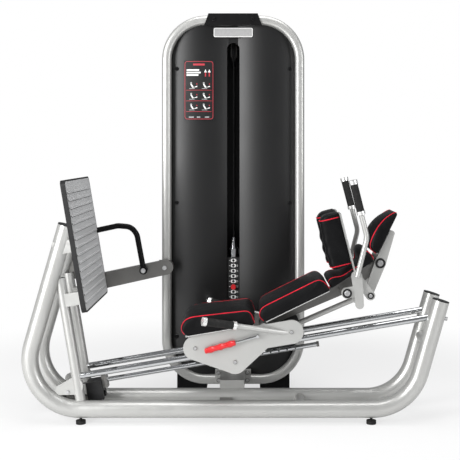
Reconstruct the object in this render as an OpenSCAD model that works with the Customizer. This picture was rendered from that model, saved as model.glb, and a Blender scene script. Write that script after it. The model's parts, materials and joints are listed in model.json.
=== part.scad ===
// Reclining leg press with a selectorised weight tower, in millimetres.
// X runs from the foot plate to the head end, Y runs from the user's access side to the tower, Z is up.
// Measurements along X are taken from the middle of the weight stack and across Y from the rail centre plane.

/* [Base frame] */
// Outside diameter of the two long base tubes
base_tube_d = 80; // [60:1:95]
// Wall thickness of the base tubes
base_tube_wall = 3; // [2:0.5:6]
// Distance between the two base tube centre planes
base_spread = 220; // [190:1:260]
// Height of the base tube centreline above the floor
base_z = 68; // [55:1:90]
// Bend radius of the base tubes on their centreline
base_bend_r = 235; // [200:1:260]
// Where the foot end bend starts, towards the foot plate
foot_bend_x = -708; // [-760:1:-680]
// Where the head end bend starts, towards the head rest
head_bend_x = 664; // [640:1:700]
// Lean of the foot end uprights from the vertical, in degrees
foot_lean = 16; // [12:0.5:20]
// Lean of the head end uprights from the vertical, in degrees
head_lean = 16; // [12:0.5:20]
// Height of the centre of each head end tube cap
head_top_z = 576; // [540:1:620]
// Height of the top of the foot end uprights
foot_top_z = 930; // [860:1:940]
// Diameter of the rubber levelling feet
level_foot_d = 46; // [30:1:60]

/* [Guide rails] */
// Diameter of the two chromed guide rails
rail_d = 30; // [24:1:36]
// Distance between the two rail axes
rail_spread = 192; // [170:1:210]
// Slope of the rails, in degrees
rail_slope = 9.55; // [7:0.05:12]
// Height of the rail axis at its foot end
rail_foot_z = 222; // [200:1:250]
// Place of the foot end of the rails along X
rail_foot_x = -703; // [-720:1:-690]
// Diameter of the two foot posts
post_d = 48; // [40:1:56]

/* [Foot plate] */
// Length of the foot plate, up its slope
plate_len = 590; // [480:5:650]
// Width of the foot plate
plate_w = 575; // [460:5:620]
// Thickness of the foot plate
plate_t = 22; // [16:1:30]
// Distance from the rail line up to the lower edge of the foot plate
plate_rise = 324; // [300:1:360]
// Distance between the raised foot ribs
rib_pitch = 36; // [24:1:60]
// Height of the raised foot ribs
rib_h = 3; // [1:0.5:5]

/* [Weight tower] */
// Outside width of the tower's front ring
tower_w = 744; // [700:2:800]
// Height of the top of the front ring
tower_top = 1987; // [1800:1:2100]
// Height of the bottom of the front ring
tower_bottom = 63; // [50:1:90]
// Outside corner radius of the ring
tower_r = 230; // [180:1:260]
// Width of the ring's face
ring_w = 49; // [40:1:60]
// Depth of the ring tube
ring_depth = 60; // [50:1:80]
// Distance from the rail centre plane to the front of the tower
tower_y = 340; // [330:1:370]
// Depth of the whole tower
tower_depth = 335; // [320:1:380]
// Width of the open slot in front of the weights
slot_w = 66; // [56:1:80]
// Height of the top of the open slot
slot_top = 1849; // [1700:1:1870]
// Wall thickness of the moulded panels
panel_t = 4; // [3:0.5:6]
// How far each front panel bulges forward
panel_bulge = 26; // [16:1:32]

/* [Weight stack] */
// Number of weight plates
plate_count = 20; // [14:1:20]
// Number of plates above the selector pin at rest
picked_count = 6; // [2:1:10]
// Height of one weight plate
weight_t = 27.2; // [24:0.1:28]
// Width of a weight plate
weight_w = 290; // [260:1:320]
// Depth of a weight plate
weight_depth = 112; // [100:1:120]
// Diameter of the two weight guide rods
guide_rod_d = 25; // [20:1:28]
// Distance between the two weight guide rods
guide_rod_gap = 200; // [180:1:220]
// Height of the stack's underside on its cushions
stack_z = 167; // [160:1:200]

/* [Carriage] */
// Distance between the outer faces of the two side plates
carriage_w = 308; // [290:1:330]
// Thickness of each side plate
side_plate_t = 8; // [6:1:12]
// Radius of the side plates round each axle
side_plate_r = 56; // [48:1:60]
// Place of the front roller axle along the rail
front_axle_s = 555; // [540:1:570]
// Place of the rear roller axle along the rail
rear_axle_s = 1009; // [990:1:1030]
// Place of the lower roller axle along the rail
lower_axle_s = 727; // [700:1:760]
// Height of the upper axles over the rail axis
upper_axle_h = 50; // [46:0.5:56]
// Depth of the lower axle under the rail axis
lower_axle_h = 44; // [40:0.5:50]
// Diameter of the roller axles
axle_d = 16; // [12:0.5:20]
// Width of each roller
roller_w = 38; // [30:1:44]

/* [Seat and back] */
// Width of the seat pad
seat_w = 370; // [320:2:400]
// Length of the seat pad
seat_len = 330; // [300:2:350]
// Thickness of the seat pad at its sides
seat_t = 88; // [70:1:100]
// Width of the back pads
back_w = 340; // [280:2:360]
// Thickness of the back pads at their sides
back_t = 66; // [50:1:80]
// Slope of the back beam at rest, in degrees
back_slope = 25.9; // [22:0.1:30]
// Height of the crown in the middle of a pad
pad_crown = 13; // [4:0.5:20]
// Height of each shoulder pad
shoulder_len = 268; // [220:2:290]
// Width of each shoulder pad
shoulder_w = 104; // [90:1:110]
// Thickness of each shoulder pad
shoulder_t = 96; // [80:1:110]
// Lean of the shoulder pads from the vertical, in degrees
shoulder_lean = 14; // [10:0.5:18]
// Length of the head rest pad
head_len = 240; // [200:2:260]
// Width of the head rest pad
head_w = 220; // [180:2:240]

/* [Handles] */
// Diameter of the handle tubes
handle_d = 24; // [20:0.5:28]
// Diameter of the rubber grips
grip_d = 36; // [32:0.5:42]
// Length of the rubber grips
grip_len = 128; // [110:1:140]
// Diameter of the polished collars and caps
collar_d = 40; // [36:0.5:46]
// Diameter of the lock lever rod
lever_d = 12; // [9:0.5:14]

/* [Clearances] */
// Radial running clearance of a shaft in its bore
run_gap = 0.05; // [0.02:0.01:0.1]
// Gap between faces that pass each other
pass_gap = 0.3; // [0.3:0.1:1]
// Diameter of the steel cable
cable_d = 6; // [5:0.5:8]

/* [Hidden] */
$fn = 64;

// The two sides of everything that is made as a near and far pair
sides = [-1, 1];
silver = "#c9c9c7";
grey = "#8f9090";
black = "#1d1d1f";
red = "#c8202c";
chrome = "#dfe2e6";

// Places along the sloping rails: s runs up the rail, h stands square to it
function rail_pt(s, h) = [
    rail_foot_x + s * cos(rail_slope) - h * sin(rail_slope),
    rail_foot_z + s * sin(rail_slope) + h * cos(rail_slope)
];
// A point at a distance and slope from another one
function from(p, dist, slope) = [p[0] + dist * cos(slope), p[1] + dist * sin(slope)];
function mid(p, q) = [(p[0] + q[0]) / 2, (p[1] + q[1]) / 2];
function slope_of(p, q) = atan2(q[1] - p[1], q[0] - p[0]);
function at_y(p, y) = [p[0], y, p[1]];

// Base frame
base_y = base_spread / 2;
base_r = base_tube_d / 2;
foot_bend_c = [foot_bend_x, base_z + base_bend_r];
head_bend_c = [head_bend_x, base_z + base_bend_r];
foot_bend_end = [foot_bend_x - base_bend_r * cos(foot_lean), foot_bend_c[1] + base_bend_r * sin(foot_lean)];
head_bend_turn = 90 - head_lean;
head_bend_end = [
    head_bend_x + base_bend_r * sin(head_bend_turn),
    head_bend_c[1] - base_bend_r * cos(head_bend_turn)
];
foot_run = (foot_top_z - foot_bend_end[1]) / cos(foot_lean);
head_run = (head_top_z - head_bend_end[1]) / cos(head_lean);
function foot_upright(z) = [
    foot_bend_end[0] + (z - foot_bend_end[1]) * tan(foot_lean),
    z
];
function head_upright(z) = [
    head_bend_end[0] + (z - head_bend_end[1]) * tan(head_lean),
    z
];
cap_t = 5;

// Guide rails reach from the foot posts to the head uprights
rail_y = rail_spread / 2;
rail_r = rail_d / 2;
head_axis_s = (head_bend_end[0] - rail_foot_x
    - (head_bend_end[1] - rail_foot_z) * tan(head_lean))
    / (cos(rail_slope) - sin(rail_slope) * tan(head_lean));
post_r = post_d / 2;
post_wall = 3;
post_drop = 130;
post_foot = rail_pt(-post_r, -post_drop);
post_top_h = 470;

// Foot plate stands square to the rails, in front of the posts
plate_s = 92;
plate_low = rail_pt(plate_s, plate_rise);
trim_t = 8;

// Tower
ring_x = tower_w / 2;
tower_back = tower_y + tower_depth;
inner_w = tower_w - 2 * ring_w;
shroud_inset = 10;
stack_y = tower_y + 118;
stack_pitch = weight_t + pass_gap;
weight_top = stack_z + plate_count * stack_pitch;
pin_z = stack_z + (plate_count - picked_count) * stack_pitch + weight_t / 2;
rest_count = plate_count - picked_count;
stem_d = 26;
rod_head_z = tower_top - ring_w - 80;

// Carriage
plate_y = carriage_w / 2 - side_plate_t / 2;
front_axle = rail_pt(front_axle_s, upper_axle_h);
rear_axle = rail_pt(rear_axle_s, upper_axle_h);
lower_axle = rail_pt(lower_axle_s, -lower_axle_h);
seat_base_t = 8;
seat_h = upper_axle_h + side_plate_r + 2 + seat_base_t;
seat_s = 520;
bar_drop = 59;
bar_d = 22;
bar_foot_s = 74;
bar_len = 1045;

// Back rest linkage
back_pivot_s = 885;
back_pivot_h = 90;
back_pivot = rail_pt(back_pivot_s, back_pivot_h);
shoulder_pivot = from(back_pivot, 419, 23.3);
rod_offset = [59, -54];
rod_foot = back_pivot + rod_offset;
rod_head = shoulder_pivot + rod_offset;
head_pivot = shoulder_pivot + [166, 127];
link_pin = shoulder_pivot + [111, -15];
link_top = shoulder_pivot + [45, 77];
pad_foot = back_pivot + [5, 29];
pivot_d = 24;
beam_w = 70;
arm_t = 12;
arm_y = 64;
head_bar_y = arm_y + arm_t + 1;
link_y = 146;
frame_arm_y = 166;

// Cable route
cable_r = cable_d / 2;
wrap_r = 47;
wheel_w = 18;
cheek_t = 6;
cheek_in = wheel_w / 2 + 2;
bar_cable_s = bar_foot_s - 40;
foot_wheel = rail_pt(bar_cable_s - 120, -bar_drop - wrap_r);
return_z = foot_wheel[1] - wrap_r;
link_wrap_r = 28;
floor_wheel_y = tower_back - 66 - wrap_r;
top_wheel_r = (floor_wheel_y + wrap_r - stack_y) / 2;
top_wheel_y = (floor_wheel_y + wrap_r + stack_y) / 2;
top_wheel_z = tower_top - ring_w - 130;

// The origin is on the floor under the middle of the whole machine
x_low = foot_bend_x - base_bend_r - base_r;
x_high = head_upright(head_top_z)[0] + base_r * cos(head_lean) + cap_t * sin(head_lean);
y_low = -plate_w / 2 - trim_t;
origin = [(x_low + x_high) / 2, (y_low + tower_back) / 2, 0];
// Hairline left between lengths that are welded end to end
weld_gap = 0.05;
// Gap under a screw head that is cut to a curved face
seat_gap = 0.25;
module placed() {
    translate(-origin) children();
}

// Shared shapes

// Draws a profile in X and Z and gives it thickness t across Y, from y upward
module slab(y, t) {
    translate([0, y + t, 0]) rotate([90, 0, 0]) linear_extrude(t) children();
}
// The straight part of a flat profile that runs round two circles, kept a little inside them
web_in = 0.6;
module web2d(p, rp, q, rq) {
    slope = slope_of(p, q);
    open = acos((rp - rq) / norm(q - p));
    a = rp - web_in;
    b = rq - web_in;
    polygon([
        from(p, a, slope + open), from(p, a, slope - open),
        from(q, b, slope - open), from(q, b, slope + open)
    ]);
}
// A flat profile that runs round two circles and straight between them
module link2d(p, rp, q, rq) {
    translate(p) circle(rp);
    translate(q) circle(rq);
    web2d(p, rp, q, rq);
}
module ring2d(d, wall) {
    difference() {
        circle(d = d);
        circle(d = d - 2 * wall);
    }
}
// A round bar between two points in space
module bar(p, q, d) {
    v = q - p;
    turn = atan2(v[1], v[0]);
    tilt = acos(v[2] / norm(v));
    translate(p) rotate([0, tilt, turn]) cylinder(d = d, h = norm(v));
}
// A round bar along several points, bent to a radius at each corner between them
function unit(v) = v / norm(v);
function turn_at(points, i) =
    acos(unit(points[i] - points[i - 1]) * unit(points[i + 1] - points[i]));
function bend_cut(points, i, r) =
    i == 0 || i == len(points) - 1 ? 0 : r * tan(turn_at(points, i) / 2);
module bent_bar(points, d, r) {
    for (i = [0 : len(points) - 2]) {
        way = unit(points[i + 1] - points[i]);
        bar(points[i] + way * bend_cut(points, i, r), points[i + 1] - way * bend_cut(points, i + 1, r), d);
    }
    for (i = [1 : 1 : len(points) - 2]) {
        way = unit(points[i] - points[i - 1]);
        next = unit(points[i + 1] - points[i]);
        turn = turn_at(points, i);
        inward = unit(next - way);
        centre = points[i] + inward * r / cos(turn / 2);
        out = unit(points[i] - way * bend_cut(points, i, r) - centre);
        across = cross(out, way);
        gap = asin(weld_gap / r);
        multmatrix([
            [out[0], way[0], across[0], centre[0]],
            [out[1], way[1], across[1], centre[1]],
            [out[2], way[2], across[2], centre[2]]
        ]) rotate([0, 0, gap]) rotate_extrude(angle = turn - 2 * gap) translate([r, 0]) circle(d = d);
    }
}
// A pin across Y through a point of the side view
module cross_pin(p, y, length, d) {
    translate(at_y(p, y)) rotate([-90, 0, 0]) cylinder(d = d, h = length);
}
// Two mirrored copies, one each side of the rail centre plane
module both_sides() {
    for (side = sides) {
        mirror([0, side < 0 ? 0 : 1, 0]) children();
    }
}
// Flat outline with four equal round corners
module round_rect(w, h, r) {
    union() {
        translate([-w / 2 + r, -h / 2]) square([w - 2 * r, h]);
        translate([-w / 2, -h / 2 + r]) square([w, h - 2 * r]);
        for (x = sides, z = sides) {
            translate([x * (w / 2 - r), z * (h / 2 - r)]) circle(r);
        }
    }
}
// The tower's outline seen from the front, grown or shrunk by an inset
module tower_outline(inset) {
    height = tower_top - tower_bottom - 2 * inset;
    translate([0, (tower_top + tower_bottom) / 2])
        round_rect(tower_w - 2 * inset, height, tower_r - inset);
}

// Soft pads

// Rounds each corner [along, up, cut] of a side view with a short curve
corner_steps = 4;
function curve(a, b, c, t) = (1 - t) * (1 - t) * a + 2 * t * (1 - t) * b + t * t * c;
function toward(p, q, cut) = p + (q - p) * min(cut / norm(q - p), 0.49);
function xy(c) = [c[0], c[1]];
function soft_outline(corners) = [
    for (i = [0 : len(corners) - 1])
        let (
            n = len(corners),
            here = xy(corners[i]),
            a = toward(here, xy(corners[(i + n - 1) % n]), corners[i][2]),
            c = toward(here, xy(corners[(i + 1) % n]), corners[i][2])
        )
        for (k = [0 : corner_steps]) curve(a, here, c, k / corner_steps)
];
pad_sections = 14;
pad_edge = 20;
pad_draw = 7;
// Share of the full outline left at a place across the pad, drawn in round its two edges
function edge_share(v, half) =
    let (past = max(0, abs(v) * half - (half - pad_edge)) / pad_edge)
    1 - 0.16 * (1 - sqrt(1 - past * past));
// A closed pad: flat below, crowned above, with its long sides pulled in between the corners
module pad_form(outline, width, crown) {
    n = len(outline);
    half = width / 2;
    along = [for (p = outline) p[0]];
    up = [for (p = outline) p[1]];
    middle = (max(along) + min(along)) / 2;
    reach = (max(along) - min(along)) / 2;
    high = max(up);
    points = [
        for (j = [0 : pad_sections])
            let (
                v = -cos(180 * j / pad_sections),
                share = edge_share(v, half),
                swell = 1 + crown / high * (1 - v * v)
            )
            for (p = outline)
                let (q = (p[0] - middle) / reach)
                [
                    middle + q * reach * (1 - (1 - share) * 0.35),
                    v * (half - pad_draw * (1 - q * q)),
                    p[1] * share * swell
                ]
    ];
    walls = [
        for (j = [0 : pad_sections - 1], i = [0 : n - 1])
            let (a = j * n + i, b = j * n + (i + 1) % n)
            each [[a, a + n, b], [b, a + n, b + n]]
    ];
    ends = [
        for (i = [1 : n - 2])
            each [
                [0, i, i + 1],
                [pad_sections * n, pad_sections * n + i + 1, pad_sections * n + i]
            ]
    ];
    polyhedron(points = points, faces = concat(walls, ends));
}
// Sets a pad's own flat base on a sloping line of the side view
module on_slope(p, slope) {
    translate(at_y(p, 0)) rotate([0, -slope, 0]) children();
}

// Base frame and guide rails

// Each base tube is bent and straight lengths, butted end to end with a hairline at each weld
module base_tube(d, wall) {
    bend_gap = asin(weld_gap / base_bend_r);
    translate([foot_bend_x, 0, base_z]) rotate([0, 90, 0])
        linear_extrude(head_bend_x - foot_bend_x) ring2d(d, wall);
    translate(at_y(foot_bend_c, 0)) rotate([90, 0, 0]) rotate([0, 0, 180 - foot_lean + bend_gap])
        rotate_extrude(angle = 90 + foot_lean - 2 * bend_gap) translate([base_bend_r, 0]) ring2d(d, wall);
    translate(at_y(head_bend_c, 0)) rotate([90, 0, 0]) rotate([0, 0, bend_gap - 90])
        rotate_extrude(angle = head_bend_turn - 2 * bend_gap) translate([base_bend_r, 0]) ring2d(d, wall);
    translate(at_y(foot_bend_end, 0)) rotate([0, foot_lean, 0]) linear_extrude(foot_run) ring2d(d, wall);
    translate(at_y(head_bend_end, 0)) rotate([0, head_lean, 0]) linear_extrude(head_run) ring2d(d, wall);
}
// Solid envelopes of the tubes, which what is welded to them is cut to fit
module base_runs() {
    for (side = sides) {
        bar([foot_bend_x, side * base_y, base_z], [head_bend_x, side * base_y, base_z], base_tube_d);
    }
}
module foot_uprights() {
    for (side = sides) {
        bar(at_y(foot_bend_end, side * base_y), at_y(foot_upright(foot_top_z), side * base_y), base_tube_d);
    }
}
module head_uprights(gap = 0) {
    for (side = sides) {
        bar(
            at_y(head_bend_end, side * base_y),
            at_y(head_upright(head_top_z), side * base_y), base_tube_d + 2 * gap
        );
    }
}
module foot_bend_solid() {
    translate(at_y(foot_bend_c, 0)) rotate([90, 0, 0]) rotate([0, 0, 180 - foot_lean])
        rotate_extrude(angle = 90 + foot_lean) translate([base_bend_r, 0]) circle(base_r);
}
module posts_solid() {
    for (side = sides) {
        bar(at_y(post_foot, side * rail_y), at_y(rail_pt(-post_r, post_top_h), side * rail_y), post_d);
    }
}
// The foot uprights and their caps are cut clear of the back of the foot plate
plate_clear = 5;
module plate_bay() {
    on_slope(plate_low, rail_slope) translate([-plate_clear, -base_spread, 0])
        cube([base_spread, 2 * base_spread, plate_len]);
}
module base_tubes() {
    color(silver) placed() for (side = sides) {
        difference() {
            translate([0, side * base_y, 0]) base_tube(base_tube_d, base_tube_wall);
            plate_bay();
            bar([0, base_y - base_r - 2, return_z], [0, base_y + base_r + 2, return_z], cable_way_d);
        }
    }
}
cable_way_d = cable_d + 8;
module tube_end_caps() {
    plug_h = 30;
    plug_d = base_tube_d - 2 * base_tube_wall - 2 * run_gap;
    color(black) placed() for (side = sides) {
        translate(at_y(head_upright(head_top_z), side * base_y)) rotate([0, head_lean, 0]) {
            cylinder(d = base_tube_d, h = cap_t);
            translate([0, 0, -plug_h]) cylinder(d = plug_d, h = plug_h);
        }
        difference() {
            translate(at_y(foot_upright(foot_top_z), side * base_y)) rotate([0, foot_lean, 0]) {
                cylinder(d = base_tube_d, h = cap_t);
                translate([0, 0, -plug_h]) cylinder(d = plug_d, h = plug_h);
            }
            plate_bay();
        }
    }
}
cross_tube_d = 50;
head_cross = head_upright(374);
foot_cross_x = foot_bend_x + 40;
middle_cross_x = 330;
module base_cross_members() {
    color(silver) placed() {
        difference() {
            cross_pin(head_cross, -base_y, base_spread, cross_tube_d);
            head_uprights();
        }
        difference() {
            for (x = [foot_cross_x, middle_cross_x]) {
                cross_pin([x, base_z], -base_y, base_spread, cross_tube_d);
            }
            base_runs();
            bar([foot_wheel[0], 0, return_z], [0, 0, return_z], cable_way_d);
        }
    }
}
foot_x = [foot_bend_x + 4, head_bend_x - 4];
module level_foot(x, y, top_z) {
    stud_d = 12;
    pad_h = 16;
    translate([x, y, 0]) {
        cylinder(d = level_foot_d, h = pad_h);
        cylinder(d = stud_d, h = top_z);
    }
}
module levelling_feet() {
    color(black) placed() {
        for (x = foot_x, side = sides) {
            level_foot(x, side * base_y, base_z - base_r);
        }
        for (side = sides, y = [tower_y + ring_depth + 40, tower_back - 40]) {
            level_foot(side * leg_x, y, tower_base_z);
        }
    }
}
// The post feet are cut on a slope, because the base tubes begin to bend up under them
post_seat_x = post_r + 4;
post_seat_rise = base_bend_r - sqrt(base_bend_r * base_bend_r - post_seat_x * post_seat_x);
module post_seats() {
    way = [2 * post_seat_x, -post_seat_rise];
    low = [foot_bend_x + post_seat_x, base_z];
    for (side = sides) {
        bar(at_y(low - 2 * way, side * base_y), at_y(low + way, side * base_y), base_tube_d);
    }
}
module foot_posts() {
    color(silver) placed() for (side = sides) {
        difference() {
            translate(at_y(post_foot, side * rail_y)) rotate([0, -rail_slope, 0])
                linear_extrude(post_top_h + post_drop) ring2d(post_d, post_wall);
            post_seats();
            foot_uprights();
        }
    }
}
rail_bolt_d = 18;
module guide_rails() {
    color(chrome) placed() for (side = sides) {
        difference() {
            bar(
                at_y(rail_pt(-post_r, 0), side * rail_y),
                at_y(rail_pt(head_axis_s, 0), side * rail_y), rail_d
            );
            posts_solid();
            head_uprights();
        }
    }
}
stop_len = 74;
stop_w = 96;
stop_h = 90;
wheel_bay_w = 2 * (cheek_in + cheek_t + 1);
module stop_block() {
    color(black) placed() difference() {
        on_slope(rail_pt(bar_foot_s - stop_len, -bar_drop - stop_h + 8), rail_slope)
            translate([0, -stop_w / 2, 0]) cube([stop_len, stop_w, stop_h]);
        cross_pin([foot_cross_x, base_z], -base_y, base_spread, cross_tube_d);
        on_slope(rail_pt(bar_foot_s - stop_len - 1, -bar_drop), rail_slope)
            rotate([0, 90, 0]) cylinder(d = cable_d + 4, h = stop_len + 2);
        translate([foot_wheel[0], -wheel_bay_w / 2, 0]) cube([200, wheel_bay_w, base_z + 60]);
    }
}

// Foot plate and its supports

rib_count = floor((plate_len - 70) / rib_pitch);
rib_w = 9;
plate_corner = 18;
module foot_plate() {
    color("#c4c6c8") placed() on_slope(plate_low, rail_slope) {
        translate([0, 0, plate_len / 2]) rotate([90, 0, 90]) linear_extrude(plate_t)
            round_rect(plate_w, plate_len, plate_corner);
        for (i = [0 : rib_count]) {
            translate([plate_t, -plate_w / 2 + 22, 35 + i * rib_pitch - rib_w / 2])
                cube([rib_h, plate_w - 44, rib_w]);
        }
    }
}
module foot_plate_trim() {
    color(black) placed() on_slope(plate_low, rail_slope) {
        translate([0, 0, plate_len / 2]) rotate([90, 0, 90]) linear_extrude(plate_t)
            difference() {
                round_rect(plate_w + 2 * trim_t, plate_len + 2 * trim_t, plate_corner + trim_t);
                round_rect(plate_w, plate_len, plate_corner);
            }
    }
}
// Each arm is [place across, width, rise over the rail line]
plate_arms = [[rail_y, 44, plate_rise + 40], [base_y, 60, plate_rise + 290]];
plate_arm_h = 60;
gusset_t = 8;
gusset_r = 40;
gusset_top = [foot_bend_x - 26, 176];
gusset_low = [foot_bend_x - 92, 158];
gusset_screw = [-32, -26];
module foot_plate_brackets() {
    color(silver) placed() {
        for (side = sides, arm = plate_arms) {
            difference() {
                on_slope(rail_pt(-post_r, arm[2]), rail_slope)
                    translate([0, side * arm[0] - arm[1] / 2, -plate_arm_h / 2])
                        cube([plate_s + post_r, arm[1], plate_arm_h]);
                posts_solid();
                foot_uprights();
            }
        }
        for (side = sides) {
            difference() {
                slab(side * base_y - gusset_t / 2, gusset_t) link2d(gusset_top, gusset_r, gusset_low, 24);
                base_runs();
                translate([0, side * base_y, 0]) foot_bend_solid();
                posts_solid();
            }
        }
    }
}
// The side beam ties the back of the foot plate to the tower ring
beam_y = tower_y - 44;
beam_t = 42;
beam_foot = [-731, 597];
beam_head = [-ring_x + 26, 680];
beam_half = 41;
module side_beam() {
    color(grey) placed() difference() {
        union() {
            slab(beam_y, beam_t) link2d(beam_foot, beam_half, beam_head, 38);
            translate([beam_head[0] - 38, beam_y + beam_t, beam_head[1] - 34])
                cube([46, tower_y - beam_y - beam_t, 68]);
            slab(beam_y, beam_t) polygon([
                rail_pt(plate_s - 60, plate_rise + 110), beam_foot + [-20, -beam_half + 4],
                beam_foot + [30, -beam_half + 4], beam_foot + [30, beam_half - 4],
                rail_pt(plate_s - 22, plate_rise + 225), rail_pt(plate_s - 60, plate_rise + 225)
            ]);
            on_slope(rail_pt(-post_r, plate_rise + 110), rail_slope)
                translate([0, rail_y, 0]) cube([plate_s + post_r, beam_y + beam_t - rail_y, 115]);
        }
        posts_solid();
        foot_uprights();
    }
}
rail_tube_d = 28;
rail_bend_r = 60;
rail_boss_d = 40;
rail_boss_y = beam_y - rail_tube_d - 4;
handrail_y = beam_y - rail_tube_d / 2;
handrail_points = [[-752, 861], [-590, 896], [-520, 890], [-492, 850], [-458, 668]];
module handrail() {
    color(black) placed() difference() {
        union() {
            bent_bar([for (p = handrail_points) at_y(p, handrail_y)], rail_tube_d, rail_bend_r);
            cross_pin(handrail_points[4], rail_boss_y, beam_y - rail_boss_y, rail_boss_d);
        }
        on_slope(plate_low, rail_slope) translate([-500, 0, -50]) cube([500 + plate_t, 2000, 900]);
    }
}

// Weight tower

tower_base_z = 28;
module tower_ring() {
    color(silver) placed() slab(tower_y, ring_depth) difference() {
        tower_outline(0);
        tower_outline(ring_w);
    }
}
module tower_shroud() {
    color(black) placed() slab(tower_y + ring_depth, tower_depth - ring_depth - panel_t) difference() {
        tower_outline(shroud_inset);
        tower_outline(shroud_inset + panel_t);
        translate([0, tower_bottom + shroud_inset]) square([2 * (cheek_in + cheek_t + 2), 40], center = true);
    }
}
module rear_panel() {
    color(black) placed() slab(tower_back - panel_t, panel_t) tower_outline(shroud_inset);
}
// Each front half is one curved sheet that stands forward in its middle
half_panel_w = (inner_w - slot_w) / 2;
bulge_r = (half_panel_w * half_panel_w / 4 + panel_bulge * panel_bulge) / (2 * panel_bulge);
panel_y = tower_y + ring_depth - 8;
slot_bend_z = slot_top - slot_w / 2;
sheet_y = panel_y + panel_t + 1;
inside_y = sheet_y + panel_t + pass_gap;
module slot_outline() {
    translate([0, tower_bottom]) square([slot_w, 2 * (slot_bend_z - tower_bottom)], center = true);
    translate([0, slot_bend_z]) circle(d = slot_w);
}
module front_panels() {
    color(black) placed() {
        intersection() {
            slab(tower_y - 20, ring_depth + 40) difference() {
                tower_outline(ring_w + pass_gap);
                slot_outline();
            }
            for (side = sides) {
                translate([side * (slot_w + half_panel_w) / 2, panel_y - panel_bulge + bulge_r, 0])
                    linear_extrude(tower_top) intersection() {
                        ring2d(2 * bulge_r, panel_t);
                        translate([-half_panel_w / 2 - slot_w / 2, -bulge_r - 1])
                            square([half_panel_w + slot_w, panel_bulge + panel_t]);
                    }
            }
        }
        slab(sheet_y, panel_t) difference() {
            tower_outline(ring_w + pass_gap);
            slot_outline();
        }
    }
}
cover_w = [256, 300];
module tower_top_plate() {
    cover_t = 8;
    color(black) placed() {
        slab(tower_y - cover_t, cover_t) polygon([
            [-cover_w[0] / 2, tower_top + cover_t], [cover_w[0] / 2, tower_top + cover_t],
            [cover_w[1] / 2, tower_top - ring_w - 4], [-cover_w[1] / 2, tower_top - ring_w - 4]
        ]);
        translate([-cover_w[0] / 2, tower_y - cover_t, tower_top])
            cube([cover_w[0], ring_depth + cover_t, cover_t]);
    }
}
leg_w = 156;
leg_x = ring_x - 76 - leg_w / 2;
floor_t = 8;
cushion_h = 26;
stack_floor_z = stack_z - cushion_h - floor_t;
module tower_base() {
    color(black) placed() {
        for (side = sides) {
            difference() {
                translate([side * leg_x - leg_w / 2, tower_y + ring_depth, tower_base_z])
                    cube([leg_w, tower_depth - ring_depth, 160]);
                translate([side * leg_x - leg_w / 2 + 4, tower_y + ring_depth + 4, tower_base_z + floor_t])
                    cube([leg_w - 8, tower_depth - ring_depth - 8, 160]);
                slab(tower_y, 2 * tower_depth) tower_outline(shroud_inset);
            }
        }
        difference() {
            intersection() {
                translate([-ring_x, inside_y, stack_floor_z])
                    cube([tower_w, tower_back - panel_t - inside_y, floor_t]);
                slab(tower_y, tower_depth) tower_outline(shroud_inset + panel_t);
            }
            translate([-cheek_in, floor_wheel_y - wrap_r - 12, stack_floor_z - 1])
                cube([2 * cheek_in, 2 * wrap_r + 24, floor_t + 2]);
        }
    }
}
link_w = 120;
link_z = [76, 147];
link_h = link_z[1] - link_z[0];
link_wall = 6;
link_back = base_y + base_r + 8;
flange_w = 185;
flange_t = 10;
module link_bracket() {
    color(silver) placed() difference() {
        union() {
            translate([-link_w / 2, base_y, link_z[0]]) cube([link_w, tower_y - base_y, link_h]);
            translate([-flange_w / 2, tower_y - flange_t, link_z[0]]) cube([flange_w, flange_t, link_h]);
        }
        translate([-link_w / 2 + link_wall, link_back, link_z[0] - 1])
            cube([link_w - 2 * link_wall, tower_y - flange_t - link_back, link_h - link_wall + 1]);
        base_runs();
    }
}
placard_h = 311;
placard_low_z = tower_top - 545;
placard_x = [-258, -101];
badge_h = 48;
badge_low_z = tower_top - 111;
badge_w = 204;
placard_t = 3;
badge_t = 6;
badge_in = 3;
// The round bodies whose fronts are the two panel faces
module panel_rounds(gap) {
    for (side = sides) {
        translate([side * panel_x, panel_y - panel_bulge + bulge_r, 0])
            cylinder(r = bulge_r + gap, h = tower_top, $fn = 360);
    }
}
panel_x = (slot_w + half_panel_w) / 2;
// The placard follows the left panel's curve, and the badge bridges the two panels
module front_placards() {
    badge_y = panel_y - panel_bulge + badge_in;
    color("#2a2a2c") placed() {
        translate([-panel_x, panel_y - panel_bulge + bulge_r, placard_low_z])
            linear_extrude(placard_h) intersection() {
                ring2d(2 * (bulge_r + placard_t), placard_t - weld_gap);
                translate([placard_x[0] + panel_x, -bulge_r - 2 * placard_t])
                    square([placard_x[1] - placard_x[0], panel_bulge]);
            }
        difference() {
            translate([-badge_w / 2, badge_y, badge_low_z]) cube([badge_w, badge_t, badge_h]);
            panel_rounds(weld_gap);
        }
    }
}
screw_x = ring_x - ring_w - 26;
screw_low_z = 307;
screw_high_z = tower_top - 276;
screw_z = [screw_low_z, (screw_low_z + screw_high_z) / 2, screw_high_z];
rail_bolt_z = 505;
module screw_head(p, d, h) {
    translate(p) rotate([90, 0, 0]) cylinder(d = d, h = h);
}
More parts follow.
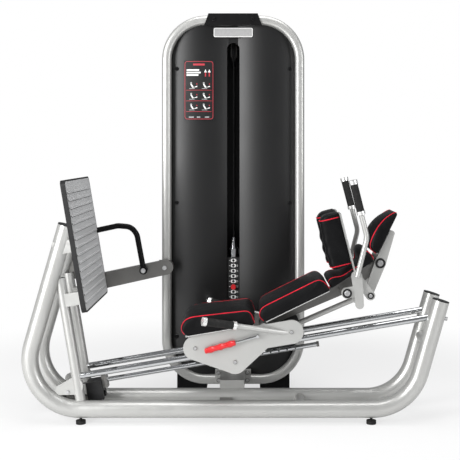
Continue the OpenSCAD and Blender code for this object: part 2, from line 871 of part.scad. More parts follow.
module frame_fasteners() {
    link_bolt_x = flange_w / 2 - 18;
    color("#54565a") placed() {
        difference() {
            for (side = sides, z = screw_z) {
                screw_head([side * screw_x, panel_y, z], 20, 14);
            }
            panel_rounds(seat_gap);
        }
        for (side = sides, z = [link_z[0] + 16, link_z[1] - 16]) {
            screw_head([side * link_bolt_x, tower_y - flange_t, z], 16, 8);
        }
        for (side = sides) {
            screw_head([side * 100, tower_y - 8, tower_top - 22], 16, 6);
        }
        screw_head([handrail_points[4][0], rail_boss_y, handrail_points[4][1]], 24, 8);
        screw_head([beam_head[0] - 6, beam_y, beam_head[1] - 2], 22, 8);
        for (side = sides) {
            difference() {
                translate(at_y(head_upright(rail_bolt_z), side * base_y))
                    rotate([0, 90 + head_lean, 0]) cylinder(d = rail_bolt_d, h = base_r + 12);
                head_uprights(seat_gap);
            }
            screw_head(at_y(gusset_top + gusset_screw, side * base_y - gusset_t / 2), 16, 8);
        }
    }
}

// Weight stack

module weight_guide_rods() {
    color(chrome) placed() for (side = sides) {
        translate([side * guide_rod_gap / 2, stack_y, stack_floor_z + floor_t])
            cylinder(d = guide_rod_d, h = rod_head_z - stack_floor_z - floor_t);
    }
}
module weight_plate(z) {
    hole_gap = 1;
    difference() {
        translate([-weight_w / 2, stack_y - weight_depth / 2, z]) cube([weight_w, weight_depth, weight_t]);
        for (side = sides) {
            translate([side * guide_rod_gap / 2, stack_y, z - 1])
                cylinder(d = guide_rod_d + 2 * hole_gap, h = weight_t + 2);
        }
        translate([0, stack_y, z - 1]) cylinder(d = stem_d + 2 * hole_gap, h = weight_t + 2);
        translate([0, stack_y + 1, z + weight_t / 2])
            rotate([90, 0, 0]) cylinder(d = pin_hole_d, h = weight_depth);
    }
}
pin_hole_d = 12;
module weight_stack() {
    color("#2b2c2e") placed() for (i = [0 : rest_count - 1]) {
        weight_plate(stack_z + i * stack_pitch);
    }
}
module picked_weights() {
    color("#2b2c2e") placed() for (i = [rest_count : plate_count - 1]) {
        weight_plate(stack_z + i * stack_pitch);
    }
}
cushion_d = 60;
module stack_cushions() {
    color(black) placed() for (side = sides) {
        difference() {
            translate([side * guide_rod_gap / 2, stack_y, stack_floor_z + floor_t])
                cylinder(d = cushion_d, h = cushion_h - pass_gap);
            translate([side * guide_rod_gap / 2, stack_y, stack_floor_z])
                cylinder(d = guide_rod_d + 1, h = 2 * cushion_h);
        }
    }
}
stem_cap_h = 44;
stem_cone_h = 60;
stem_top_z = weight_top + stem_cap_h + stem_cone_h;
module selector_stem() {
    low = pin_z - 60;
    color(chrome) placed() difference() {
        union() {
            translate([0, stack_y, low]) cylinder(d = stem_d, h = weight_top - low);
            translate([0, stack_y, weight_top]) cylinder(d = 70, h = stem_cap_h);
            translate([0, stack_y, weight_top + stem_cap_h]) cylinder(d1 = 50, d2 = 22, h = stem_cone_h);
        }
        translate([0, stack_y + 20, pin_z]) rotate([90, 0, 0]) cylinder(d = pin_hole_d, h = 60);
    }
}
pin_knob_d = 26;
pin_reach = 10;
module selector_pin() {
    pin_d = pin_hole_d - 2 * pass_gap;
    front = stack_y - weight_depth / 2;
    color(red) placed() {
        translate([0, stack_y + pin_reach, pin_z]) rotate([90, 0, 0])
            cylinder(d = pin_d, h = weight_depth / 2 + pin_reach + 6);
        translate([0, front - 2, pin_z]) rotate([90, 0, 0]) cylinder(d = pin_knob_d, h = 22);
    }
}

// Cable and pulleys

axle_wheel_d = 16;
groove_gap = 0.3;
// A grooved wheel that turns about its own Z, sized by the circle that the cable follows
module wheel(wrap) {
    rim = wrap + 4;
    bore = axle_wheel_d / 2 + run_gap;
    rotate_extrude() difference() {
        translate([bore, -wheel_w / 2]) square([rim - bore, wheel_w]);
        translate([wrap, 0]) circle(cable_r + groove_gap);
        polygon([
            [wrap, -cable_r - groove_gap], [rim + 1, -wheel_w / 2 + 3],
            [rim + 1, wheel_w / 2 - 3], [wrap, cable_r + groove_gap]
        ]);
    }
}
module across_y() {
    rotate([90, 0, 0]) children();
}
module across_x() {
    rotate([90, 0, 90]) children();
}
module cable_bend(wrap, start, turn) {
    rotate([0, 0, start]) rotate_extrude(angle = turn) translate([wrap, 0]) circle(cable_r);
}
module foot_pulley() {
    color(grey) placed() translate(at_y(foot_wheel, 0)) across_y() wheel(wrap_r);
}
module link_pulley() {
    color(grey) placed() translate([-link_wrap_r, link_wrap_r, return_z]) wheel(link_wrap_r);
}
module floor_pulley() {
    color(grey) placed() translate([0, floor_wheel_y, return_z + wrap_r]) across_x() wheel(wrap_r);
}
module top_pulley() {
    color(grey) placed() translate([0, top_wheel_y, top_wheel_z]) across_x() wheel(top_wheel_r);
}
head_plate_z = rod_head_z;
module cheeks() {
    for (side = sides) {
        translate([0, 0, side * (cheek_in + cheek_t / 2) - cheek_t / 2]) linear_extrude(cheek_t) children();
    }
    cylinder(d = axle_wheel_d, h = 2 * (cheek_in + cheek_t), center = true);
}
module pulley_brackets() {
    cheek_r = 22;
    foot_cross = [foot_cross_x, base_z];
    head_gap_y = top_wheel_r + 12;
    color(grey) placed() {
        difference() {
            translate(at_y(foot_wheel, 0)) across_y() cheeks()
                link2d([0, 0], cheek_r, foot_cross - foot_wheel, cheek_r);
            cross_pin(foot_cross, -base_y, base_spread, cross_tube_d);
        }
        difference() {
            union() {
                translate([-link_wrap_r - 30, -base_y, return_z + cheek_in])
                    cube([60, base_spread, cheek_t]);
                translate([-link_wrap_r, link_wrap_r, return_z - cheek_in])
                    cylinder(d = axle_wheel_d, h = 2 * cheek_in);
            }
            base_runs();
        }
        translate([0, floor_wheel_y, return_z + wrap_r]) across_x() cheeks()
            translate([-cheek_r, -cheek_r])
                square([2 * cheek_r, stack_floor_z - return_z - wrap_r + cheek_r]);
        translate([0, top_wheel_y, top_wheel_z]) across_x() cheeks()
            translate([-cheek_r, -cheek_r]) square([2 * cheek_r, head_plate_z - top_wheel_z + cheek_r]);
        difference() {
            intersection() {
                translate([-ring_x, inside_y, head_plate_z])
                    cube([tower_w, tower_back - panel_t - inside_y, floor_t]);
                slab(tower_y, tower_depth) tower_outline(shroud_inset + panel_t);
            }
            translate([-cheek_in, top_wheel_y - head_gap_y, head_plate_z - 1])
                cube([2 * cheek_in, 2 * head_gap_y, floor_t + 2]);
        }
    }
}
module fixed_cable() {
    color("#3a3a3c") placed() {
        translate(at_y(foot_wheel, 0)) across_y() cable_bend(wrap_r, 90 + rail_slope, 180 - rail_slope);
        bar([foot_wheel[0], 0, return_z], [-link_wrap_r, 0, return_z], cable_d);
        translate([-link_wrap_r, link_wrap_r, return_z]) cable_bend(link_wrap_r, -90, 90);
        bar([0, link_wrap_r, return_z], [0, floor_wheel_y, return_z], cable_d);
        translate([0, floor_wheel_y, return_z + wrap_r]) across_x() cable_bend(wrap_r, -90, 90);
        bar(
            [0, floor_wheel_y + wrap_r, return_z + wrap_r],
            [0, floor_wheel_y + wrap_r, top_wheel_z], cable_d
        );
        translate([0, top_wheel_y, top_wheel_z]) across_x() cable_bend(top_wheel_r, 0, 180);
    }
}
module foot_cable_run() {
    wheel_top = foot_wheel + [-wrap_r * sin(rail_slope), wrap_r * cos(rail_slope)];
    color("#3a3a3c") placed() bar(at_y(wheel_top, 0), at_y(rail_pt(bar_foot_s, -bar_drop), 0), cable_d);
}
module stack_cable_run() {
    color("#3a3a3c") placed() bar([0, stack_y, stem_top_z], [0, stack_y, top_wheel_z], cable_d);
}

// Press bar

hole_pitch = 40;
fitting_t = 24;
module press_bar() {
    lock_holes = [front_axle_s + 100 : hole_pitch : rear_axle_s + 20];
    color(chrome) placed() difference() {
        on_slope(rail_pt(bar_foot_s + fitting_t, -bar_drop), rail_slope)
            rotate([0, 90, 0]) cylinder(d = bar_d, h = bar_len - fitting_t);
        for (s = lock_holes) {
            cross_pin(rail_pt(s, -bar_drop), -bar_d, 2 * bar_d, 8);
        }
    }
}
module bar_end_fittings() {
    color(grey) placed() {
        on_slope(rail_pt(bar_foot_s, -bar_drop), rail_slope)
            translate([0, -24, -34]) cube([fitting_t, 48, 68]);
        on_slope(rail_pt(bar_foot_s + bar_len, -bar_drop), rail_slope)
            rotate([0, 90, 0]) cylinder(d = bar_d + 4, h = 12);
    }
}

// Carriage

module axle_stub(p, side) {
    inner = rail_y - roller_w / 2 - pass_gap;
    outer = rail_y + roller_w / 2 + pass_gap;
    reach = plate_y + side_plate_t / 2;
    mirror([0, side > 0 ? 0 : 1, 0]) {
        cross_pin(p, inner - 4, reach - inner + 6, axle_d);
        cross_pin(p, inner - 6, 6, axle_d + 12);
        cross_pin(p, outer, reach - outer - side_plate_t / 2, axle_d + 12);
        cross_pin(p, reach, 5, axle_d + 2);
    }
}
knee_r = 28;
knee = rail_pt(rear_axle_s - 128, upper_axle_h - side_plate_r + knee_r + 1);
module side_plates() {
    color(silver) placed() for (side = sides) {
        difference() {
            slab(side * plate_y - side_plate_t / 2, side_plate_t) {
                link2d(front_axle, side_plate_r, rear_axle, side_plate_r);
                link2d(lower_axle, side_plate_r, knee, knee_r);
                web2d(front_axle, side_plate_r, lower_axle, side_plate_r);
                polygon([front_axle, lower_axle, knee, rear_axle]);
            }
            cross_pin(lever_pivot, -carriage_w, carriage_w, lever_pin_d + 2 * run_gap);
        }
        for (p = [front_axle, rear_axle, lower_axle]) {
            axle_stub(p, side);
        }
    }
}
inner_y = plate_y - side_plate_t / 2;
bush_s = [front_axle_s + 40, rear_axle_s - 230];
module carriage_frame() {
    bush_len = 44;
    bush_d = bar_d + 20;
    carriage_tube_d = 40;
    color(silver) placed() {
        on_slope(rail_pt(seat_s, seat_h - seat_base_t), rail_slope)
            translate([0, -seat_w / 2 + 24, 0]) cube([seat_len - 8, seat_w - 48, seat_base_t]);
        for (s = [front_axle_s + 70, back_pivot_s]) {
            difference() {
                cross_pin(rail_pt(s, back_pivot_h), -inner_y, 2 * inner_y, carriage_tube_d);
                cross_pin(back_pivot, -beam_w / 2 - pass_gap, beam_w + 2 * pass_gap, carriage_tube_d + 1);
            }
        }
        cross_pin(back_pivot, -inner_y, 2 * inner_y, pivot_d);
        cross_pin(rod_foot, -inner_y, 2 * inner_y, rod_pin_d);
        for (s = bush_s) {
            difference() {
                union() {
                    on_slope(rail_pt(s, -bar_drop), rail_slope)
                        rotate([0, 90, 0]) cylinder(d = bush_d, h = bush_len);
                    on_slope(rail_pt(s, -bar_drop), rail_slope)
                        translate([0, -7, 0]) cube([bush_len, 14, bar_drop + seat_h - seat_base_t]);
                }
                on_slope(rail_pt(s - 1, -bar_drop), rail_slope) rotate([0, 90, 0])
                    cylinder(d = bar_d + 2 * run_gap, h = bush_len + 2);
            }
        }
    }
}

// Seat, its handles and the lock lever

module seat_pad() {
    front = seat_t * 0.42;
    outline = soft_outline([
        [4, 0, 10], [-20, front, 30], [18, seat_t - 2, 46],
        [seat_len - 14, seat_t - 20, 24], [seat_len, 0, 10]
    ]);
    color(black) placed() on_slope(rail_pt(seat_s, seat_h + pass_gap), rail_slope)
        pad_form(outline, seat_w, pad_crown);
}
// Stands its children along the line from one point to another
module along(p, q) {
    v = q - p;
    translate(p) rotate([0, acos(v[2] / norm(v)), atan2(v[1], v[0])]) children();
}
collar_h = 16;
handle_cap_h = 18;
module sleeve(d, bore, low, h) {
    translate([0, 0, low]) linear_extrude(h) difference() {
        circle(d = d);
        circle(d = bore);
    }
}
module grip_on(p, q) {
    length = norm(q - p);
    along(p, q) sleeve(grip_d, handle_d + 2 * run_gap, length - grip_len, grip_len);
}
module collars_on(p, q) {
    length = norm(q - p);
    along(p, q) {
        sleeve(collar_d, handle_d + 2 * run_gap, length - grip_len - collar_h, collar_h);
        translate([0, 0, length]) cylinder(d = collar_d, h = handle_cap_h);
    }
}
seat_handle_foot = [235, -carriage_w / 2, 439];
seat_handle_tip = [-107, -268, 508];
module seat_handles() {
    color(silver) placed() both_sides() difference() {
        bar(seat_handle_foot + 0.1 * (seat_handle_foot - seat_handle_tip), seat_handle_tip, handle_d);
        translate([seat_handle_foot[0] - 200, -carriage_w / 2, 300]) cube([400, carriage_w, 300]);
    }
}
module seat_grips() {
    color(black) placed() both_sides() grip_on(seat_handle_foot, seat_handle_tip);
}
module seat_collars() {
    color(chrome) placed() both_sides() collars_on(seat_handle_foot, seat_handle_tip);
}
lever_pivot = rail_pt(851, 60.7);
lever_slope = 195.9;
lever_y = -carriage_w / 2 - 20;
lever_pin_d = 14;
lever_len = 250;
red_len = 144;
red_d = 27;
module lock_lever() {
    tip = from(lever_pivot, lever_len, lever_slope);
    pawl_y = -carriage_w / 2 + side_plate_t;
    color(chrome) placed() {
        bar(at_y(lever_pivot, lever_y), at_y(tip, lever_y), lever_d);
        cross_pin(lever_pivot, lever_y - lever_d, pawl_y + 14 - lever_y + lever_d, lever_pin_d);
        slab(pawl_y + pass_gap, 10) link2d(lever_pivot, 14, lever_pivot + [-14, -26], 8);
    }
}
module lever_grip() {
    waves = 5;
    color(red) placed() along(
        at_y(from(lever_pivot, lever_len - red_len, lever_slope), lever_y),
        at_y(from(lever_pivot, lever_len, lever_slope), lever_y)
    ) {
        sleeve(red_d, lever_d + 2 * run_gap, 0, red_len);
        for (i = [0 : waves]) {
            translate([0, 0, 8 + i * (red_len - 16) / waves]) rotate_extrude()
                translate([red_d / 2 - 1, 0]) circle(2.5);
        }
        translate([0, 0, red_len]) cylinder(d = red_d, h = 4);
    }
}
// Grooved rollers: two on top of each rail and one under it
module roller_pair(p, centre_h) {
    bore = axle_d / 2 + run_gap;
    color(black) placed() for (side = sides) {
        translate(at_y(p, side * rail_y)) across_y() rotate_extrude() difference() {
            translate([bore, -roller_w / 2]) square([centre_h - 4 - bore, roller_w]);
            translate([centre_h, 0]) circle(rail_r + pass_gap);
        }
    }
}
module front_rollers() {
    roller_pair(front_axle, upper_axle_h);
}
module rear_rollers() {
    roller_pair(rear_axle, upper_axle_h);
}
module lower_rollers() {
    roller_pair(lower_axle, lower_axle_h);
}
// Reclining back

rod_d = 26;
rod_pin_d = 16;
back_len = 338;
upper_w = 280;
pad_board_t = 10;
arm_r = 24;
beam_eye_r = 23;
// The upper pad lies a little flatter than the line from the shoulder pivot to the head pivot
head_arm_slope = slope_of(shoulder_pivot, head_pivot);
upper_slope = head_arm_slope - 4.4;
upper_start = from(from(shoulder_pivot, -44, head_arm_slope), 52, head_arm_slope + 90);
module back_beam() {
    board_in = 30;
    upper_board = 196;
    color(grey) placed() difference() {
        union() {
            slab(-beam_w / 2, beam_w) link2d(back_pivot, beam_eye_r, shoulder_pivot, 26);
            slab(-beam_w / 2, beam_w) polygon([
                back_pivot, shoulder_pivot,
                from(pad_foot, back_len - board_in, back_slope), from(pad_foot, board_in, back_slope)
            ]);
            on_slope(pad_foot, back_slope) translate([4, board_in - back_w / 2, -pad_board_t])
                cube([back_len - 12, back_w - 2 * board_in, pad_board_t]);
            on_slope(upper_start, upper_slope) translate([6, board_in - upper_w / 2, -pad_board_t])
                cube([upper_board, upper_w - 2 * board_in, pad_board_t]);
            for (side = sides) {
                slab(side * (arm_y + arm_t / 2) - arm_t / 2, arm_t) {
                    link2d(shoulder_pivot, arm_r, head_pivot, arm_r);
                    polygon([
                        shoulder_pivot, mid(shoulder_pivot, head_pivot),
                        from(upper_start, 150, upper_slope), from(upper_start, 16, upper_slope)
                    ]);
                }
            }
            cross_pin(shoulder_pivot, -arm_y - 1, 2 * arm_y + 2, 2 * arm_r + 4);
        }
        cross_pin(back_pivot, -beam_w, 2 * beam_w, pivot_d + 2 * run_gap);
        cross_pin(shoulder_pivot, -2 * arm_y, 4 * arm_y, pivot_d + 2 * run_gap);
        cross_pin(head_pivot, -2 * arm_y, 4 * arm_y, rod_pin_d + 2 * run_gap);
    }
}
module back_pad() {
    outline = soft_outline([
        [0, 0, 8], [-16, back_t * 0.5, 20], [10, back_t, 34],
        [back_len - 18, back_t + 2, 26], [back_len, back_t * 0.3, 16], [back_len, 0, 6]
    ]);
    color(black) placed() on_slope(from(pad_foot, pass_gap, back_slope + 90), back_slope)
        pad_form(outline, back_w, pad_crown);
}
// The upper pad is thin under the shoulder pads and rises to a neck roll behind them
upper_thin = 18;
neck_h = 64;
neck_crown = 24;
module upper_back_pad() {
    outline = soft_outline([
        [0, 0, 6], [-2, 2 * upper_thin, 12], [28, 2 * upper_thin + 4, 14], [70, upper_thin + 2, 16],
        [178, upper_thin, 10], [194, neck_h - 8, 14], [210, neck_h, 16], [232, neck_h - 4, 24],
        [242, neck_h / 2, 14], [238, 0, 6]
    ]);
    color(black) placed() on_slope(from(upper_start, pass_gap, upper_slope + 90), upper_slope)
        pad_form(outline, upper_w, neck_crown);
}
module parallel_rod() {
    eye_w = 28;
    eye_d = 40;
    color(silver) placed() difference() {
        union() {
            bar(at_y(rod_foot, 0), at_y(rod_head, 0), rod_d);
            for (p = [rod_foot, rod_head]) {
                cross_pin(p, -eye_w / 2, eye_w, eye_d);
            }
        }
        for (p = [rod_foot, rod_head]) {
            cross_pin(p, -eye_w, 2 * eye_w, rod_pin_d + 2 * run_gap);
        }
    }
}
// The shoulder frame hangs on the beam's head and stays upright as the back reclines
shoulder_slope = 90 + shoulder_lean;
shoulder_back = shoulder_pivot + [33, 96];
shoulder_gap = 84;
shoulder_in = 8;
frame_arm_r = 26;
arm_face = frame_arm_y + arm_t;
pad_step = 34;
board_step = pad_step + 16;
module frame_arm() {
    slab(frame_arm_y, arm_t) {
        link2d(link_top, frame_arm_r, rod_head, 20);
        link2d(shoulder_pivot, frame_arm_r, mid(link_top, rod_head), 24);
    }
}
module shoulder_frame() {
    board_t = 8;
    strap_y = link_y + arm_t + 2;
    board_in_y = shoulder_gap / 2 + shoulder_in;
    color(silver) placed() {
        for (side = sides) {
            mirror([0, side > 0 ? 0 : 1, 0]) {
                frame_arm();
                cross_pin(shoulder_pivot, arm_face, 8, 44);
                cross_pin(link_top, link_y - 2, frame_arm_y - link_y + 2, pivot_d);
                on_slope(shoulder_back, shoulder_slope) {
                    translate([board_step, board_in_y, -board_t])
                        cube([shoulder_len + 10 - board_step, strap_y + 4 - board_in_y, board_t]);
                    translate([-14, strap_y, -board_t]) cube([164, arm_face - strap_y, board_t]);
                }
            }
        }
        cross_pin(shoulder_pivot, -frame_arm_y, 2 * frame_arm_y, pivot_d);
        cross_pin(rod_head, -frame_arm_y, 2 * frame_arm_y, rod_pin_d);
    }
}
module shoulder_pads() {
    channel = 5;
    top = shoulder_len;
    t = shoulder_t;
    outline = soft_outline([
        [pad_step, 0, 6], [pad_step - 12, t - 14, 24], [48, t, 10], [76, t - channel, 8],
        [106, t + 3, 10], [134, t - channel, 8], [164, t + 2, 10], [190, t - channel, 8],
        [top - 8, t - 4, 12], [top + 18, t - 26, 22], [top + 18, 0, 8]
    ]);
    color(black) placed() for (side = sides) {
        translate([0, side * (shoulder_gap + shoulder_w) / 2, 0])
            on_slope(from(shoulder_back, pass_gap, shoulder_slope + 90), shoulder_slope)
                pad_form(outline, shoulder_w, pad_crown / 2);
    }
}
// The upper handles stand outside the arms, each on a short boss
upper_knee = shoulder_pivot + [91, 258];
upper_tip = shoulder_pivot + [28, 505];
tip_spread = 14;
upper_y = arm_face + handle_d / 2 + 1;
upper_bend_r = 80;
handle_boss_d = 18;
module upper_handles() {
    color(silver) placed() both_sides() {
        bent_bar(
            [at_y(link_top, -upper_y), at_y(upper_knee, -upper_y), at_y(upper_tip, -upper_y - tip_spread)],
            handle_d, upper_bend_r
        );
        cross_pin(from(link_top, handle_boss_d, slope_of(link_top, upper_knee)), -upper_y,
            upper_y - arm_face, handle_boss_d);
    }
}
module upper_grips() {
    color(black) placed() both_sides()
        grip_on(at_y(upper_knee, -upper_y), at_y(upper_tip, -upper_y - tip_spread));
}
module upper_collars() {
    color(chrome) placed() both_sides()
        collars_on(at_y(upper_knee, -upper_y), at_y(upper_tip, -upper_y - tip_spread));
}
head_slope = slope_of(link_pin, head_pivot);
head_tip = from(head_pivot, 150, head_slope);
head_pad_foot = from(from(head_pivot, 34, head_slope), 28, head_slope + 90);
head_pad_slope = head_slope - 5;
head_board_t = 10;
module head_rest_bar() {
    pin_end = link_y + arm_t + 1;
    board_half = head_bar_y + arm_t / 2;
    color(silver) placed() {
        for (side = sides) {
            slab(side * (head_bar_y + arm_t / 2) - arm_t / 2, arm_t) {
                link2d(link_pin, 22, head_pivot, 27);
                web2d(head_pivot, 27, head_tip, 14);
                translate(head_tip) circle(14);
            }
            mirror([0, side > 0 ? 0 : 1, 0]) cross_pin(link_pin, pin_end, 5, 30);
        }
        cross_pin(head_pivot, -head_bar_y, 2 * head_bar_y, rod_pin_d);
        cross_pin(link_pin, -pin_end, 2 * pin_end, rod_pin_d);
        on_slope(from(head_pad_foot, -head_board_t, head_pad_slope + 90), head_pad_slope)
            translate([10, -board_half, 0]) cube([head_len * 0.5, 2 * board_half, head_board_t]);
    }
}
module head_rest_pad() {
    outline = soft_outline([
        [2, 0, 6], [2, 18, 10], [10, 44, 16], [52, 56, 24], [116, 57, 30],
        [head_len - 66, 40, 26], [head_len - 20, 10, 8], [head_len - 26, 0, 4]
    ]);
    color(black) placed() on_slope(from(head_pad_foot, pass_gap, head_pad_slope + 90), head_pad_slope)
        pad_form(outline, head_w, 2 * pad_crown);
}
// The link is open round its lower pin, so the four bars need not close exactly
link_play = 3;
module head_rest_link() {
    color(silver) placed() for (side = sides) {
        difference() {
            slab(side * (link_y + arm_t / 2) - arm_t / 2, arm_t) link2d(link_top, 20, link_pin, 22);
            cross_pin(link_top, -2 * link_y, 4 * link_y, pivot_d + 2 * run_gap);
            cross_pin(link_pin, -2 * link_y, 4 * link_y, rod_pin_d + 2 * link_play);
        }
    }
}

// Drawing

base_tubes();
tube_end_caps();
base_cross_members();
levelling_feet();
foot_posts();
guide_rails();
stop_block();
foot_plate();
foot_plate_trim();
foot_plate_brackets();
side_beam();
handrail();
tower_ring();
tower_shroud();
front_panels();
rear_panel();
tower_top_plate();
tower_base();
link_bracket();
front_placards();
frame_fasteners();
weight_guide_rods();
weight_stack();
stack_cushions();
pulley_brackets();
fixed_cable();
foot_cable_run();
stack_cable_run();
foot_pulley();
link_pulley();
floor_pulley();
top_pulley();
press_bar();
bar_end_fittings();
picked_weights();
selector_stem();
selector_pin();
side_plates();
carriage_frame();
seat_pad();
seat_handles();
seat_grips();
seat_collars();
lock_lever();
lever_grip();
front_rollers();
rear_rollers();
lower_rollers();
back_beam();
back_pad();
upper_back_pad();
parallel_rod();
shoulder_frame();
shoulder_pads();
upper_handles();
upper_grips();
upper_collars();
head_rest_bar();
head_rest_pad();
head_rest_link();
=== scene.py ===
"""Looks of a reclining leg press with a selector weight tower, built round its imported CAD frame."""
import json
import math

import bmesh
import bpy
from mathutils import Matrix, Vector


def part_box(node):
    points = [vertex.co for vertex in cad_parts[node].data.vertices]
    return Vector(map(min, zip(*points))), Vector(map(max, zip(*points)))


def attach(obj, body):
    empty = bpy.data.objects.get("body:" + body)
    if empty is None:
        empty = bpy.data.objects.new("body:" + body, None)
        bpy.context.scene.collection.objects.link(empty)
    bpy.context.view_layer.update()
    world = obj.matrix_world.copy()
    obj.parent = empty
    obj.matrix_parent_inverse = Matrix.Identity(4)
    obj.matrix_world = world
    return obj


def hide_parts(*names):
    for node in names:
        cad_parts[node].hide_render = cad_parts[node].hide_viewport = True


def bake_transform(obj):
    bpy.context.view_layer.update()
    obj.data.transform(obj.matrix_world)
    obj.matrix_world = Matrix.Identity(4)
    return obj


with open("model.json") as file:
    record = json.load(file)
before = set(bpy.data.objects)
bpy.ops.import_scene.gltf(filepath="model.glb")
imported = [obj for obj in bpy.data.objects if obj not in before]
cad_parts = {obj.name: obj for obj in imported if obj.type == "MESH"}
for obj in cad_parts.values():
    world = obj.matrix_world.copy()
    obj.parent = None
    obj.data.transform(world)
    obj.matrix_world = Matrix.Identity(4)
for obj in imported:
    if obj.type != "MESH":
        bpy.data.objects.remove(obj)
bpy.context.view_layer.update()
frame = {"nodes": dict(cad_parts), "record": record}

NODES = frame["nodes"]
MM = 0.001
scene = bpy.context.scene


# Materials

SLOT_OF = {row["node"]: row["material_slot"] for row in frame["record"]["subparts"]}


class Shader:
    """A node material being put together round one Principled shader."""

    def __init__(self, name, color, rough, metal=0.0, shine=0.5):
        self.material = bpy.data.materials.new(name)
        self.material.use_nodes = True
        self.tree = self.material.node_tree
        self.bsdf = self.tree.nodes["Principled BSDF"]
        self.color = color
        self.bsdf.inputs["Base Color"].default_value = (*color, 1)
        self.bsdf.inputs["Roughness"].default_value = rough
        self.bsdf.inputs["Metallic"].default_value = metal
        self.bsdf.inputs["Specular IOR Level"].default_value = shine
        self.coords = self.tree.nodes.new("ShaderNodeTexCoord")
        self.normal = None

    def link(self, a, b):
        self.tree.links.new(a, b)

    def noise(self, scale, detail=3.0, rough=0.55, stretch=None):
        """Noise in the part's own metres; stretch scales its axes."""
        node = self.tree.nodes.new("ShaderNodeTexNoise")
        node.inputs["Scale"].default_value = scale
        node.inputs["Detail"].default_value = detail
        node.inputs["Roughness"].default_value = rough
        source = self.coords.outputs["Object"]
        if stretch:
            mapping = self.tree.nodes.new("ShaderNodeMapping")
            mapping.inputs["Scale"].default_value = stretch
            self.link(source, mapping.inputs["Vector"])
            source = mapping.outputs["Vector"]
        self.link(source, node.inputs["Vector"])
        return node.outputs["Fac"]

    def cells(self, scale, feature="F1"):
        """Cell pattern in the part's own metres."""
        node = self.tree.nodes.new("ShaderNodeTexVoronoi")
        node.feature = feature
        node.inputs["Scale"].default_value = scale
        self.link(self.coords.outputs["Object"], node.inputs["Vector"])
        return node.outputs["Distance"]

    def ramp(self, value, low, high, dark, light):
        """Maps value from low..high onto dark..light."""
        node = self.tree.nodes.new("ShaderNodeMapRange")
        node.inputs["From Min"].default_value = low
        node.inputs["From Max"].default_value = high
        node.inputs["To Min"].default_value = dark
        node.inputs["To Max"].default_value = light
        self.link(value, node.inputs["Value"])
        return node.outputs["Result"]

    def tint(self, value, low, high, other):
        """Blends the base colour towards another where value is high."""
        mix = self.tree.nodes.new("ShaderNodeMix")
        mix.data_type = "RGBA"
        mix.inputs["A"].default_value = (*self.color, 1)
        mix.inputs["B"].default_value = (*other, 1)
        self.link(self.ramp(value, low, high, 0, 1), mix.inputs["Factor"])
        self.link(mix.outputs["Result"], self.bsdf.inputs["Base Color"])

    def roughen(self, value, low, high):
        self.link(self.ramp(value, 0.3, 0.7, low, high), self.bsdf.inputs["Roughness"])

    def bump(self, value, strength, depth):
        """Adds a layer of relief, depth in metres."""
        node = self.tree.nodes.new("ShaderNodeBump")
        node.inputs["Strength"].default_value = strength
        node.inputs["Distance"].default_value = depth
        self.link(value, node.inputs["Height"])
        if self.normal is not None:
            self.link(self.normal, node.inputs["Normal"])
        self.normal = node.outputs["Normal"]
        self.link(self.normal, self.bsdf.inputs["Normal"])

    def coat(self, weight, rough):
        self.bsdf.inputs["Coat Weight"].default_value = weight
        self.bsdf.inputs["Coat Roughness"].default_value = rough


def powder_coat(name, color, rough, metal, other, shine=0.5, gloss=0.25):
    """Sprayed metal: fine orange peel, faint cloudiness and a clear top coat."""
    shader = Shader(name, color, rough, metal, shine)
    shader.tint(shader.noise(3.0, 4), 0.35, 0.7, other)
    shader.roughen(shader.noise(40.0, 3), rough - 0.05, rough + 0.07)
    shader.bump(shader.noise(900.0, 2), 0.08, 0.0006)
    shader.coat(gloss, 0.3)
    return shader.material


def chrome_plate(name):
    """Bright plating with faint drawing lines and fingerprints."""
    shader = Shader(name, (0.56, 0.57, 0.58), 0.09, 1.0)
    shader.roughen(shader.noise(60.0, 5), 0.05, 0.16)
    shader.bump(shader.noise(30.0, 2, stretch=(0.3, 40, 40)), 0.03, 0.0003)
    return shader.material


def moulded(name, color, rough, grain=1400.0, other=(0.014, 0.014, 0.015), shine=0.3):
    """Moulded plastic with a fine spark-eroded grain."""
    shader = Shader(name, color, rough, shine=shine)
    shader.tint(shader.noise(8.0, 4), 0.4, 0.8, other)
    shader.roughen(shader.noise(30.0, 4), rough - 0.06, rough + 0.08)
    shader.bump(shader.noise(grain, 2), 0.12, 0.0005)
    return shader.material


def satin_panel(name, color, rough, shine):
    """A large painted panel: even, satin, with only the faintest grain."""
    shader = Shader(name, color, rough, shine=shine)
    shader.roughen(shader.noise(4.0, 2), rough - 0.015, rough + 0.015)
    shader.bump(shader.noise(1600.0, 2), 0.05, 0.0003)
    return shader.material


def rubber(name, color):
    """Matt rubber, a little dusty."""
    shader = Shader(name, color, 0.75, shine=0.25)
    shader.tint(shader.noise(50.0, 5), 0.45, 0.8, (0.026, 0.025, 0.024))
    shader.bump(shader.cells(700.0), 0.25, 0.0007)
    return shader.material


def vinyl(name, color):
    """Grained upholstery vinyl: leather cells, fine pores, soft sheen and broad rubbed patches."""
    shader = Shader(name, color, 0.44, shine=0.09)
    shader.tint(shader.noise(14.0, 5), 0.42, 0.75, tuple(c * 1.5 for c in color))
    shader.roughen(shader.noise(22.0, 4), 0.4, 0.5)
    shader.bump(shader.cells(420.0, "DISTANCE_TO_EDGE"), 0.35, 0.0009)
    shader.bump(shader.noise(1500.0, 2), 0.15, 0.0004)
    shader.bsdf.inputs["Sheen Weight"].default_value = 0.02
    shader.bsdf.inputs["Sheen Roughness"].default_value = 0.5
    return shader.material


